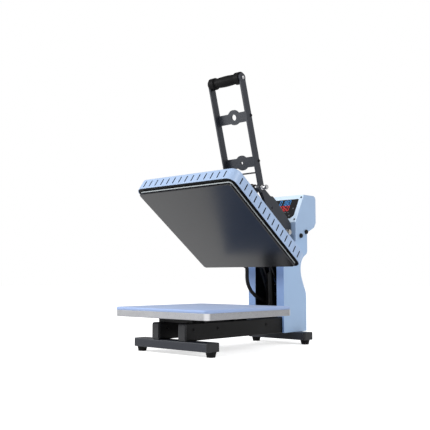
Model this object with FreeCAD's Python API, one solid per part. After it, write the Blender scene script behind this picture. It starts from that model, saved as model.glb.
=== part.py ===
"""Clamshell tabletop press: a heated upper platen on a swinging carriage, over a padded lower platen.

Millimetres, +Z up, +X to the operator's right, the operator stands at -Y. The press is modelled with
its lower platen's centre at X = Y = 0 and its feet on Z = 0, and moved as a whole when it is saved, so
that the origin is the bottom centre of the finished press. What swings with the carriage is modelled
in the closed pose, where the heated platen lies flat on the pad, and then swung open.
"""
import FreeCAD, Part
import math
import os

Vec = FreeCAD.Vector
X_AXIS = Vec(1, 0, 0)
Y_AXIS = Vec(0, 1, 0)
Z_AXIS = Vec(0, 0, 1)

# ------------------------------------------------------------------ shared clearances
run_fit = 0.06            # radial clearance of a shaft that turns in a bush
bolt_fit = 0.3            # radial clearance of a bolt in its hole
side_gap = 0.4            # gap between plates that slide past each other

# ------------------------------------------------------------------ base frame
foot_height = 14.8
foot_top_d = 31.0
foot_bottom_d = 24.0
foot_bore_d = 9.0
front_foot_x = 141.0
rear_foot_x = 103.5
tube_wide = 50.0          # long side of the rectangular tube
tube_narrow = 25.0        # short side of the rectangular tube
tube_wall = 2.0
tube_corner_r = 3.0
plug_flange = 8.0
plug_round_r = 7.4
front_bar_half = 145.3    # half length of the front cross bar, without its end plugs
rear_bar_half = 111.8
front_bar_y = -121.0
rear_bar_y = 379.0
rail_x = 54.0
rail_front_y = -142.0
rail_back_y = 396.0
rail_bolt_ys = (-111.0, -7.0, 222.0)
rail_bolt_up = 31.0       # height of the side bolts above the underside of the rail
rail_bolt_d = 6.0
rail_bolt_head_r = 4.6
rail_bolt_head_h = 2.0
bolt_head_h = 5.0

# ------------------------------------------------------------------ lower platen
platen_size = 380.0
platen_thick = 19.0
platen_corner_r = 14.0
pad_thick = 9.4
saddle_height = 14.7
saddle_len = 60.0
saddle_sheet = 4.0
saddle_y = 93.0
platen_screw_x = 20.0

# ------------------------------------------------------------------ column
column_half = 75.2
column_sheet = 2.5
column_front_y = 303.0
column_depth = 126.0      # front to back at the foot
flange_opening_half = 45.5
flange_top_z = 300.0
bend_r = 4.0
waist_in = 31.0           # how far the waist cuts in from the back
shoulder_out = 9.0        # how far the shoulder under the control box stands out
floor_sheet = 4.0

# ------------------------------------------------------------------ linkage
open_angle = 36.5         # how far the carriage swings from closed to open
main_pivot_y = 380.0
main_pivot_z = 167.5
main_pivot_d = 16.0
arm_eye_r = 20.0
handle_pivot_y = 31.0     # closed pose
handle_pivot_z = 333.5    # closed pose
handle_pivot_d = 16.0
handle_nose_r = 12.5      # round ends of the arms and brackets at the handle pivot
handle_swing = 33.0       # how far the handle turns on the carriage while that closes
link_pivot_y = 358.0
link_pivot_z = 196.0
link_pivot_d = 14.0
lever_reach = 40.0
lever_angle = -87.0       # direction of the lever from the handle pivot, press open
link_pin_d = 10.0
link_slot_along = 3.7     # lost motion of the pin in the link's eye, along the link
link_slot_across = 0.95
link_half_width = 11.0

# ------------------------------------------------------------------ plates of the linkage, from the middle out
link_inner_x = 14.0
link_thick = 6.0
lever_inner_x = 24.0
lever_thick = 6.0
arm_inner_x = 36.0
arm_thick = 6.0
bracket_inner_x = 55.5
bracket_thick = 6.0
handle_plate_inner_x = 63.0
handle_plate_thick = 6.0

# ------------------------------------------------------------------ carriage
beam_half_y = 21.0
beam_height = 28.0
beam_z = 249.0            # closed pose
bracket_bolt_y = 231.0    # closed pose
bracket_bolt_z = 311.0    # closed pose
bracket_bolt_d = 10.0
bracket_mid_bolt_y = 118.0
bracket_mid_bolt_z = 322.0
arm_knee_y = 214.0
arm_knee_z = 262.0
arm_slot_y = 160.0
beam_bolt_y = 12.0
beam_bolt_d = 8.0

# ------------------------------------------------------------------ heated platen
press_gap = 0.3           # gap to the pad when the press is closed with nothing in it
heat_plate_thick = 16.0
heat_plate_corner_r = 10.0
heat_plate_chamfer = 1.6
insulation_thick = 22.0
cover_size_x = 406.0
cover_size_y = 408.0
cover_corner_r = 26.0
cover_margin_x = 12.5     # from the heat plate's edge to the outside of the cover
cover_margin_y = 13.5
cover_sheet = 1.5
cover_rise = 13.0         # from the face of the heat plate to the lower edge of the cover
cover_height = 41.0
cover_edge_r = 6.0
tray_sheet = 1.2
tray_drop = 1.5           # how far the tray's lip stands above the cover's lower edge
slot_count = 14
slot_pitch = 25.8
slot_long = 24.0
slot_wide = 3.6
slot_mid = 18.0           # slot centre above the cover's lower edge
hanger_post_d = 16.0
hanger_post_xy = 45.0
hanger_gap = 12.0         # from the cover's top to the hanger plate
hanger_size = 124.0
hanger_thick = 8.0
hub_d = 46.0
hub_height = 14.0
screw_d = 20.0
screw_foot = 10.0         # how deep the pressure screw stands in the hub
guide_pin_d = 8.0
guide_pin_x = 26.0
knob_r = 26.0
knob_height = 34.0
knob_gap = 4.0            # from the beam to the knob, screwed right down
gland_x = -46.0
gland_d = 20.0
gland_neck_r = 6.0
gland_len = 20.0
cable_d = 12.0
block_gap = 1.2           # from the cut end of the lead to the terminal block

# ------------------------------------------------------------------ gas strut
strut_foot_y = 336.0
strut_foot_z = 64.0
strut_head_y = 325.0      # open pose
strut_head_z = 330.0      # open pose
strut_tube_d = 22.0
strut_tube_low = 18.0     # along the strut from its lower pin
strut_tube_high = 173.0
strut_rod_d = 10.0
strut_pin_d = 8.0
strut_eye_play = 3.4      # clearance of the upper pin in the rod's eye

# ------------------------------------------------------------------ handle
handle_length = 354.5     # from the pivot to the middle of the grip
handle_lean = 15.4        # from upright, towards the operator, press open
handle_plate_width = 26.0
handle_end_r = 15.0
grip_end_r = 19.5
grip_mid_r = 17.5
grip_neck_r = 15.0
grip_collar = 19.0
grip_bolt_d = 10.0
grip_bolt_head_r = 5.5
grip_bolt_head_h = 3.0
brace_upper_at = 233.0    # along the handle from its pivot
brace_lower_at = 86.0
brace_height = 33.0
brace_thick = 6.0
brace_back = 8.0          # how far the braces stand behind the middle of the arms
brace_disc_r = 24.5
brace_upper_hole_r = 10.0
brace_lower_hole_r = 5.0
brace_upper_disc_up = 3.0  # how far the upper disc stands above the middle of its brace
brace_screw_d = 4.0
brace_screw_head_r = 4.2
cross_rod_at = 50.0
cross_rod_d = 5.0
pivot_stud_out = 15.0      # bare length of the handle pivot's ends outside the arms
pivot_nut_across = 13.0

# ------------------------------------------------------------------ control box
box_half = 78.0
box_sheet = 2.0
box_front_y = 367.5
box_front_low_z = 343.0
box_face_low_z = 404.0
box_face_top_y = 420.0
box_top_z = 503.5
box_back_y = 488.0
box_back_low_z = 409.5
box_cap_r = 7.5
box_cap_h = 6.0
bezel_thick = 3.0
window_thick = 1.6
window_top = 17.5         # from the top edge of the face to the window
window_height = 78.0
window_wide = 127.0
window_cut = 12.0         # the cut at the window's lower corners
bezel_screw_x = 71.5
bezel_screw_in = 12.0     # from the face's upper and lower edges
inlet_z = 84.0
switch_z = 124.0
block_depth = 24.0        # terminal block behind the rear cover
block_z = 137.0

cable_route = [            # from the gland down and back into the column
    (-46.0, 260.5, 240.0),
    (-47.0, 261.0, 216.0),
    (-45.0, 265.0, 193.5),
    (-41.0, 277.0, 172.5),
    (-38.5, 296.0, 158.5),
    (-38.5, 311.0, 153.0),
    (-43.0, 329.0, 147.5),
    (-49.0, 351.0, 142.0),
    (-51.5, 376.0, 138.0),
]

# ------------------------------------------------------------------ worked-out places
bar_top = foot_height + tube_narrow
rail_top = bar_top + tube_wide
platen_z = rail_top + saddle_height
pad_z = platen_z + platen_thick
pad_top = pad_z + pad_thick
plate_face = pad_top + press_gap
heat_plate_x = cover_size_x - 2 * cover_margin_x
heat_plate_y = cover_size_y - 2 * cover_margin_y
plate_top = plate_face + heat_plate_thick
cover_low = plate_face + cover_rise
cover_top = cover_low + cover_height
hanger_z = cover_top + hanger_gap
hub_top = hanger_z + hanger_thick + hub_height
beam_low = beam_z - beam_height / 2
beam_high = beam_z + beam_height / 2
column_back_y = column_front_y + column_depth
waist_y = column_back_y - waist_in
shoulder_y = column_back_y + shoulder_out
press_middle_y = (box_back_y - platen_size / 2) / 2


# ------------------------------------------------------------------ small makers
def box(x0, x1, y0, y1, z0, z1):
    return Part.makeBox(x1 - x0, y1 - y0, z1 - z0, Vec(x0, y0, z0))


def rod_x(x0, x1, y, z, r):
    return Part.makeCylinder(r, x1 - x0, Vec(x0, y, z), X_AXIS)


def rod_z(z0, z1, x, y, r):
    return Part.makeCylinder(r, z1 - z0, Vec(x, y, z0), Z_AXIS)


def hexagon_x(x0, x1, y, z, across):
    """A hexagonal nut or bolt head along X, across its flats."""
    reach = across / math.sqrt(3)
    corners = []
    for step in range(7):
        turn = math.radians(60 * step)
        corners.append(Vec(x0, y + reach * math.sin(turn), z + reach * math.cos(turn)))
    face = Part.Face(Part.makePolygon(corners))
    return face.extrude(Vec(x1 - x0, 0, 0))


def rounded_wire(corners, place):
    """A closed wire through corners (a, b, radius); place turns (a, b) into a point."""
    count = len(corners)
    starts, ends, middles = [], [], []
    for i, (a, b, r) in enumerate(corners):
        before = corners[i - 1]
        after = corners[(i + 1) % count]
        u = Vec(before[0] - a, before[1] - b, 0).normalize()
        v = Vec(after[0] - a, after[1] - b, 0).normalize()
        corner = Vec(a, b, 0)
        if r <= 0:
            starts.append(corner)
            ends.append(corner)
            middles.append(None)
            continue
        half = math.acos(max(-1.0, min(1.0, u.dot(v)))) / 2
        back = r / math.tan(half)
        centre = corner + (u + v).normalize() * (r / math.sin(half))
        starts.append(corner + u * back)
        ends.append(corner + v * back)
        middles.append(centre + (corner - centre).normalize() * r)
    edges = []
    for i in range(count):
        if middles[i] is not None:
            points = [place(p.x, p.y) for p in (starts[i], middles[i], ends[i])]
            edges.append(Part.Arc(*points).toShape())
        begin = place(ends[i].x, ends[i].y)
        finish = place(starts[(i + 1) % count].x, starts[(i + 1) % count].y)
        if begin.distanceToPoint(finish) > 1e-6:
            edges.append(Part.LineSegment(begin, finish).toShape())
    return Part.Wire(edges)


def plate_x(corners, x0, x1):
    """A plate across X whose outline is given as (y, z, corner radius)."""
    wire = rounded_wire(corners, lambda a, b: Vec(x0, a, b))
    return Part.Face(wire).extrude(Vec(x1 - x0, 0, 0))


def slab(size_x, size_y, r, z0, z1, centre_x=0.0, centre_y=0.0):
    """A flat slab with rounded vertical corners."""
    hx, hy = size_x / 2, size_y / 2
    corners = [(-hx, -hy, r), (hx, -hy, r), (hx, hy, r), (-hx, hy, r)]
    wire = rounded_wire(corners, lambda a, b: Vec(centre_x + a, centre_y + b, z0))
    return Part.Face(wire).extrude(Vec(0, 0, z1 - z0))


def bar_x(y0, z0, r0, y1, z1, r1, x0, x1):
    """A flat bar across X with two round ends of their own radii, joined by tangents."""
    along = Vec(0, y1 - y0, z1 - z0)
    length = along.Length
    along.normalize()
    across = Vec(0, -along.z, along.y)
    lean = (r0 - r1) / length
    rise = math.sqrt(1 - lean * lean)
    points = []
    for y, z, r in ((y0, z0, r0), (y1, z1, r1)):
        centre = Vec(x0, y, z)
        left = centre + along * (r * lean) + across * (r * rise)
        right = centre + along * (r * lean) - across * (r * rise)
        points.append((left, right))
    far_tip = Vec(x0, y1, z1) + along * r1
    near_tip = Vec(x0, y0, z0) - along * r0
    edges = [
        Part.LineSegment(points[0][0], points[1][0]).toShape(),
        Part.Arc(points[1][0], far_tip, points[1][1]).toShape(),
        Part.LineSegment(points[1][1], points[0][1]).toShape(),
        Part.Arc(points[0][1], near_tip, points[0][0]).toShape(),
    ]
    return Part.Face(Part.Wire(edges)).extrude(Vec(x1 - x0, 0, 0))


def fuse(shapes):
    joined = shapes[0]
    if len(shapes) > 1:
        joined = shapes[0].multiFuse(shapes[1:])
    return joined.removeSplitter()


def mirror_x(shape):
    return shape.mirror(Vec(0, 0, 0), X_AXIS)


def both_sides(shape):
    return [shape, mirror_x(shape)]


def turned(shape, y, z, angle):
    """The shape turned about the X axis through (y, z)."""
    copy = shape.copy()
    copy.rotate(Vec(0, y, z), X_AXIS, angle)
    return copy


def turned_point(y, z, about_y, about_z, angle):
    turn = math.radians(angle)
    dy, dz = y - about_y, z - about_z
    return (about_y + dy * math.cos(turn) - dz * math.sin(turn),
            about_z + dy * math.sin(turn) + dz * math.cos(turn))


def opened(shape):
    return turned(shape, main_pivot_y, main_pivot_z, -open_angle)


def save(node, shapes):
    """Write one node, a solid or a group of separate solids, in the finished press's own frame."""
    if not isinstance(shapes, list):
        shapes = [shapes]
    solids = []
    for shape in shapes:
        solids += shape.Solids
    whole = solids[0] if len(solids) == 1 else Part.makeCompound(solids)
    whole = whole.copy()
    whole.translate(Vec(0, -press_middle_y, 0))
    whole.exportStep("parts/" + node + ".step")
    print(node, len(solids), "solids", round(whole.Volume), "mm3", "valid" if whole.isValid() else "NOT VALID")


# ------------------------------------------------------------------ base frame
def tube_flat_x(half):
    """A rectangular tube along X lying on its wide side, centred on Y = 0, standing on Z = 0."""
    def profile(inset, r):
        w, h = tube_wide / 2 - inset, tube_narrow - inset
        corners = [(-w, inset, r), (w, inset, r), (w, h, r), (-w, h, r)]
        return plate_x(corners, -half, half)
    return profile(0, tube_corner_r).cut(profile(tube_wall, tube_corner_r - tube_wall))


def tube_upright_y(y0, y1):
    """A rectangular tube along Y standing on its narrow side, centred on X = 0."""
    def profile(inset, r):
        w, h = tube_narrow / 2 - inset, tube_wide - inset
        corners = [(-w, inset, r), (w, inset, r), (w, h, r), (-w, h, r)]
        wire = rounded_wire(corners, lambda a, b: Vec(a, y0, b))
        return Part.Face(wire).extrude(Vec(0, y1 - y0, 0))
    return profile(0, tube_corner_r).cut(profile(tube_wall, tube_corner_r - tube_wall))


def end_plug():
    """A moulded tube plug pointing along +X, for a tube that lies flat on Z = 0 and ends at X = 0."""
    w, h, r = tube_wide / 2, tube_narrow, tube_corner_r
    cap = plate_x([(-w, 0, r), (w, 0, r), (w, h, r), (-w, h, r)], 0, plug_flange)
    plan = rounded_wire([(0, -w, 0), (plug_flange, -w, plug_round_r), (plug_flange, w, plug_round_r), (0, w, 0)],
                        lambda a, b: Vec(a, b, 0))
    cap = cap.common(Part.Face(plan).extrude(Vec(0, 0, h)))
    inner = tube_wall + 0.2
    stem = plate_x([(-w + inner, inner, 2), (w - inner, inner, 2), (w - inner, h - inner, 2),
                    (-w + inner, h - inner, 2)], -12, 0.5)
    core = box(-13, -1, -w + inner + 2, w - inner - 2, inner + 2, h - inner - 2)
    return cap.fuse(stem.cut(core)).removeSplitter()


def base_frame():
    front_bar = tube_flat_x(front_bar_half)
    front_bar.translate(Vec(0, front_bar_y, foot_height))
    save("front_crossbar", front_bar)
    rear_bar = tube_flat_x(rear_bar_half)
    rear_bar.translate(Vec(0, rear_bar_y, foot_height))
    save("rear_crossbar", rear_bar)

    rail = tube_upright_y(rail_front_y, rail_back_y)
    for y in rail_bolt_ys:
        hole = rod_x(-tube_narrow, tube_narrow, y, rail_bolt_up, rail_bolt_d / 2 + bolt_fit)
        rail = rail.cut(hole)
    rail.translate(Vec(rail_x, 0, bar_top))
    save("rail_right", rail)
    save("rail_left", mirror_x(rail))

    plugs = []
    for y, half in ((front_bar_y, front_bar_half), (rear_bar_y, rear_bar_half)):
        plug = end_plug()
        plug.translate(Vec(half, y, foot_height))
        plugs += both_sides(plug)
    upright = end_plug()
    upright.rotate(Vec(0, 0, 0), X_AXIS, 90)
    upright.translate(Vec(0, tube_narrow / 2, tube_wide / 2))
    for y, heading in ((rail_back_y, 90), (rail_front_y, -90)):
        plug = upright.copy()
        plug.rotate(Vec(0, 0, 0), Z_AXIS, heading)
        plug.translate(Vec(rail_x, y, bar_top))
        plugs += both_sides(plug)
    save("tube_end_plugs", plugs)

    foot_profile = [Vec(foot_bore_d / 2, 0, 4), Vec(foot_bore_d, 0, 4), Vec(foot_bore_d, 0, 0),
                    Vec(foot_bottom_d / 2, 0, 0), Vec(foot_top_d / 2, 0, foot_height),
                    Vec(foot_bore_d / 2, 0, foot_height), Vec(foot_bore_d / 2, 0, 4)]
    foot = Part.Face(Part.makePolygon(foot_profile)).revolve(Vec(0, 0, 0), Z_AXIS, 360)
    feet = []
    for x, y in ((front_foot_x, front_bar_y), (rear_foot_x, rear_bar_y)):
        placed = foot.copy()
        placed.translate(Vec(x, y, 0))
        feet += both_sides(placed)
    save("rubber_feet", feet)


def side_bolt(x0, x1, y, z, d, head_r, head_h):
    """A socket-head bolt along X whose head stands outside x1."""
    head = rod_x(x1, x1 + head_h, y, z, head_r)
    socket = hexagon_x(x1 + 0.4 * head_h, x1 + head_h + 1, y, z, d * 0.6)
    return rod_x(x0, x1 + 0.2, y, z, d / 2).fuse(head).removeSplitter().cut(socket)


def lower_platen():
    saddles = []
    outer = tube_narrow / 2 + rail_x
    for y in (-saddle_y, saddle_y):
        top = box(-outer, outer, y - saddle_len / 2, y + saddle_len / 2, platen_z - saddle_sheet, platen_z)
        ends = []
        for edge_y in (y - saddle_len / 2, y + saddle_len / 2 - saddle_sheet):
            ends.append(box(-outer, outer, edge_y, edge_y + saddle_sheet, rail_top, platen_z))
        saddle = fuse([top] + ends)
        for x in (-platen_screw_x, platen_screw_x):
            saddle = saddle.cut(rod_z(rail_top, platen_z + 1, x, y, rail_bolt_d / 2 + bolt_fit))
        saddles.append(saddle)
    save("platen_saddles", saddles)

    plate = slab(platen_size, platen_size, platen_corner_r, platen_z, pad_z)
    plate = plate.makeChamfer(1.5, [e for e in plate.Edges if abs(e.BoundBox.ZMax - platen_z) < 1e-3])
    screw_depth = 12.0
    screws = []
    for y in (-saddle_y, saddle_y):
        for x in (-platen_screw_x, platen_screw_x):
            under_top = platen_z - saddle_sheet
            plate = plate.cut(rod_z(platen_z - 1, platen_z + screw_depth, x, y, rail_bolt_d / 2 + 0.02))
            stem = rod_z(under_top - 0.5, platen_z + screw_depth - 0.5, x, y, rail_bolt_d / 2)
            head = rod_z(under_top - bolt_head_h, under_top, x, y, rail_bolt_d * 0.8)
            screws.append(stem.fuse(head).removeSplitter())
    for y in rail_bolt_ys:
        bolt = side_bolt(rail_x - tube_narrow / 2 - 2, rail_x + tube_narrow / 2, y,
                         bar_top + rail_bolt_up, rail_bolt_d, rail_bolt_head_r, rail_bolt_head_h)
        screws += both_sides(bolt)
    save("frame_screws", screws)
    save("lower_platen", plate)
    save("silicone_pad", slab(platen_size, platen_size, platen_corner_r, pad_z, pad_top))


# ------------------------------------------------------------------ column
def column_outline():
    """Side outline of the column as a face in the plane X = 0, with its waisted back."""
    top = box_face_low_z - 4
    front_tip = Vec(0, column_front_y, flange_top_z)
    back = Part.BSplineCurve()
    waist_points = [
        Vec(0, shoulder_y, 314),
        Vec(0, shoulder_y - 19, 292.5),
        Vec(0, waist_y, 252),
        Vec(0, waist_y + 22, 184),
        Vec(0, column_back_y, 146),
    ]
    back.interpolate(Points=waist_points, InitialTangent=Vec(0, 0, -1), FinalTangent=Vec(0, 0, -1))
    under_box = box_front_low_z - 0.8
    corners = [Vec(0, column_back_y, bar_top), Vec(0, column_front_y, bar_top), front_tip,
               Vec(0, box_front_y - 0.6, under_box), Vec(0, box_front_y + 2.9, under_box),
               Vec(0, box_front_y + 2.9, top), Vec(0, shoulder_y, top)]
    edges = [back.toShape(), Part.LineSegment(waist_points[-1], corners[0]).toShape()]
    for begin, finish in zip(corners[:-1], corners[1:]):
        edges.append(Part.LineSegment(begin, finish).toShape())
    edges.append(Part.LineSegment(corners[-1], waist_points[0]).toShape())
    return Part.Face(Part.Wire(Part.__sortEdges__(edges)))


def column():
    outline = column_outline()
    wall = outline.copy()
    wall.translate(Vec(column_half - column_sheet, 0, 0))
    wall = wall.extrude(Vec(column_sheet, 0, 0))
    flange = box(flange_opening_half, column_half, column_front_y, column_front_y + column_sheet,
                 bar_top, flange_top_z)
    notch = box(flange_opening_half - 1, rail_x + tube_narrow / 2 + 1, column_front_y - 1,
                column_front_y + column_sheet + 1, bar_top - 1, rail_top + 2)
    side = fuse([wall, flange.cut(notch)])
    bend = [e for e in side.Edges
            if abs(e.BoundBox.XMin - column_half) < 1e-3 and abs(e.BoundBox.XMax - column_half) < 1e-3
            and abs(e.BoundBox.YMax - column_front_y) < 1e-3 and e.Length > 50]
    side = side.makeFillet(bend_r - column_sheet, bend)
    for y, z in box_screw_places():
        side = side.cut(rod_x(column_half - column_sheet - 1, column_half + 1, y, z, 3.2))
    save("column_side_right", side)
    save("column_side_left", mirror_x(side))

    inner_half = column_half - column_sheet - 0.3
    body = outline.copy()
    body.translate(Vec(-inner_half, 0, 0))
    body = body.extrude(Vec(2 * inner_half, 0, 0))
    body = body.common(box(-inner_half, inner_half, column_front_y, box_back_y, bar_top, box_front_low_z + 26))
    shifted = body.copy()
    shifted.translate(Vec(0, -column_sheet, 0))
    rear = body.cut(shifted)
    rear = rear.common(box(-inner_half, inner_half, waist_y - 8, box_back_y, bar_top, box_front_low_z + 26))
    rear = max(rear.Solids, key=lambda s: s.Volume)
    rear = rear.cut(box(-rail_plug_half(), rail_plug_half(), column_back_y - 5, column_back_y + 5,
                        bar_top - 1, bar_top + 6))
    rear = rear.cut(inlet_hole()).cut(switch_hole())
    save("column_rear_cover", rear)

    inner = rail_x - tube_narrow / 2 - 0.3
    floor = box(-inner, inner, column_front_y + 10, rear_bar_y + tube_wide / 2, bar_top, bar_top + floor_sheet)
    ear_gap = strut_tube_d / 2 - 3.5
    for side_sign in (-1, 1):
        ear_x0 = min(side_sign * ear_gap, side_sign * (ear_gap + 5))
        ear = bar_x(strut_foot_y, bar_top + 5, 14, strut_foot_y, strut_foot_z, 12, ear_x0, ear_x0 + 5)
        floor = floor.fuse(ear)
    floor = floor.cut(box(-inner, inner, column_front_y, column_back_y, 0, bar_top))
    floor = floor.cut(rod_x(-20, 20, strut_foot_y, strut_foot_z, strut_pin_d / 2 + 0.02))
    save("column_floor", floor.removeSplitter())
    pin = rod_x(-ear_gap - 8, ear_gap + 8, strut_foot_y, strut_foot_z, strut_pin_d / 2)
    save("strut_lower_pin", pin)


def rail_plug_half():
    return rail_x + tube_narrow / 2 + 1


def pedestals():
    """Two upright plates on the column's floor that carry the main pivot and the link pivot."""
    foot_z = bar_top + floor_sheet
    plate = fuse([
        bar_x(main_pivot_y, main_pivot_z, 18, link_pivot_y, link_pivot_z, 16,
              lever_inner_x, lever_inner_x + lever_thick),
        plate_x([(345, foot_z, 0), (rear_bar_y + tube_wide / 2 - 1, foot_z, 0),
                 (main_pivot_y + 17.5, main_pivot_z, 0), (link_pivot_y - 15.5, link_pivot_z, 0)],
                lever_inner_x, lever_inner_x + lever_thick),
    ])
    foot_flange = box(lever_inner_x, lever_inner_x + 14, 345, rear_bar_y + tube_wide / 2 - 1,
                      foot_z, foot_z + 5)
    plate = fuse([plate, foot_flange])
    plate = plate.cut(rod_x(0, 60, main_pivot_y, main_pivot_z, main_pivot_d / 2 + 0.02))
    plate = plate.cut(rod_x(0, 60, link_pivot_y, link_pivot_z, link_pivot_d / 2 + 0.02))
    save("pivot_pedestals", both_sides(plate))

    outer = arm_inner_x + arm_thick
    shaft = rod_x(-outer - 5, outer + 5, main_pivot_y, main_pivot_z, main_pivot_d / 2)
    for side_sign in (-1, 1):
        ring_x = side_sign * (outer + 2.2)
        ring = rod_x(ring_x - 0.8, ring_x + 0.8, main_pivot_y, main_pivot_z, main_pivot_d / 2 + 3)
        shaft = shaft.fuse(ring)
    save("main_pivot_shaft", shaft.removeSplitter())
    half = lever_inner_x + lever_thick + 3
    link_shaft = rod_x(-half, half, link_pivot_y, link_pivot_z, link_pivot_d / 2)
    save("link_shaft", link_shaft)


# ------------------------------------------------------------------ control box
def box_side_outline(inset):
    """Side outline of the control box, its walls moved in by inset."""
    i = inset
    return [
        (box_front_y + i, box_front_low_z + i * 1.2, 0),
        (box_front_y + i, box_face_low_z + i * 0.2, 0),
        (box_face_top_y + i * 0.6, box_top_z - i, 4),
        (box_back_y - i, box_top_z - i, 14 - i),
        (box_back_y - i, box_back_low_z + i, 6),
        (box_back_y - 11 - i, box_back_low_z - 17 + i, 6),
        (453, 381.5 + i * 1.1, 4),
    ]


def box_screw_places():
    return [(396.0, 361.5), (426.5, 375.8)]


def face_frame():
    """Origin, upward and outward directions of the sloping display face."""
    low = Vec(0, box_front_y, box_face_low_z)
    top = Vec(0, box_face_top_y, box_top_z)
    up = (top - low).normalize()
    out = Vec(0, -up.z, up.y)
    return low, up, out, (top - low).Length


def face_plate(corners, depth0, depth1):
    """A plate on the display face; corners are (x, distance up the face, radius)."""
    low, up, out, _ = face_frame()
    start = low + out * depth0
    wire = rounded_wire(corners, lambda a, b: start + X_AXIS * a + up * b)
    return Part.Face(wire).extrude(out * (depth1 - depth0))


def window_corners(grow):
    _, _, _, face_len = face_frame()
    top = face_len - window_top + grow
    low = top - window_height - 2 * grow
    wide = window_wide / 2 + grow
    return [(-wide, top, 2), (-wide, low + window_cut, 3), (-wide + window_cut, low, 3),
            (wide - window_cut, low, 3), (wide, low + window_cut, 3), (wide, top, 2)]


def control_box():
    shell = plate_x(box_side_outline(0), -box_half, box_half)
    long_edges = [e for e in shell.Edges
                  if abs(e.BoundBox.XLength) < 1e-3 and e.BoundBox.ZMax > box_face_low_z + 2]
    shell = shell.makeFillet(1.5, [e for e in long_edges if e.Length > 20])
    hollow = plate_x(box_side_outline(box_sheet), -box_half + box_sheet, box_half - box_sheet)
    shell = shell.cut(hollow)
    low, up, out, face_len = face_frame()
    mouth = face_plate([(-box_half + 8, 6, 3), (box_half - 8, 6, 3), (box_half - 8, face_len - 6, 3),
                        (-box_half + 8, face_len - 6, 3)], -box_sheet - 3, 3)
    shell = shell.cut(mouth)
    column_gap = column_half + 0.4
    shell = shell.cut(box(-column_gap, column_gap, box_front_y + 2.4, shoulder_y + 0.4, 300, box_face_low_z))
    for y, z in box_screw_places():
        shell = shell.cut(rod_x(-box_half - 1, box_half + 1, y, z, 3.2))
    edge = 1.0
    bezel = face_plate([(-box_half + edge, edge, 4), (box_half - edge, edge, 4),
                        (box_half - edge, face_len - edge, 4), (-box_half + edge, face_len - edge, 4)],
                       0.05, bezel_thick)
    bezel = bezel.makeChamfer(0.8, [e for e in bezel.Edges
                                    if all((v.Point - low).dot(out) > bezel_thick - 1e-3 for v in e.Vertexes)])
    bezel = bezel.cut(face_plate(window_corners(0.15), bezel_thick - window_thick, bezel_thick + 1))
    screws = []
    for x in (-bezel_screw_x, bezel_screw_x):
        for height in (bezel_screw_in, face_len - bezel_screw_in):
            at = low + X_AXIS * x + up * height
            bezel = bezel.cut(Part.makeCylinder(1.7, 8, at - out, out))
            shell = shell.cut(Part.makeCylinder(1.7, 12, at - out * 10, out))
            head = Part.makeCylinder(3.2, 1.6, at + out * bezel_thick, out)
            stem = Part.makeCylinder(1.5, bezel_thick + 4, at - out * 4, out)
            screws.append(head.fuse(stem).removeSplitter())
    bezel = bezel.cut(face_plate([(-30, 30, 3), (30, 30, 3), (30, 80, 3), (-30, 80, 3)], -1, bezel_thick + 1))
    save("control_box", max(shell.Solids, key=lambda s: s.Volume))
    save("display_bezel", bezel)
    save("display_window", face_plate(window_corners(0), bezel_thick - window_thick, bezel_thick))
    save("bezel_screws", screws)
    board = face_plate([(-62, 22, 2), (62, 22, 2), (62, 98, 2), (-62, 98, 2)], -11, -9.4)
    for x in (-45, -15, 15, 45):
        board = board.fuse(face_plate([(x - 9, 40, 0), (x + 9, 40, 0), (x + 9, 60, 0), (x - 9, 60, 0)],
                                      -20, -10.9))
    for x in (-58, 58):
        board = board.fuse(face_plate([(x - 3, 26, 0), (x + 3, 26, 0), (x + 3, 32, 0), (x - 3, 32, 0)],
                                      -9.5, 0.04))
    save("circuit_board", board.removeSplitter())

    caps = []
    for y, z in box_screw_places():
        head = rod_x(box_half, box_half + box_cap_h, y, z, box_cap_r)
        head = head.makeFillet(2.0, [e for e in head.Edges if e.BoundBox.XMin > box_half + box_cap_h - 0.1])
        stem = rod_x(column_half - column_sheet - 4, box_half + 1, y, z, 3.0)
        caps += both_sides(head.fuse(stem).removeSplitter())
    save("box_fixing_screws", caps)


# ------------------------------------------------------------------ mains inlet and switch, on the rear cover
def inlet_hole():
    return box(-14.5, 14.5, column_back_y - 20, column_back_y + 20, inlet_z - 10.5, inlet_z + 10.5)


def switch_hole():
    return box(-14, 14, column_back_y - 20, column_back_y + 20, switch_z - 10.8, switch_z + 10.8)


def slab_y(half_x, half_z, r, y0, y1, z):
    corners = [(-half_x, z - half_z, r), (half_x, z - half_z, r), (half_x, z + half_z, r),
               (-half_x, z + half_z, r)]
    wire = rounded_wire(corners, lambda a, b: Vec(a, y0, b))
    return Part.Face(wire).extrude(Vec(0, y1 - y0, 0))


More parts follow.
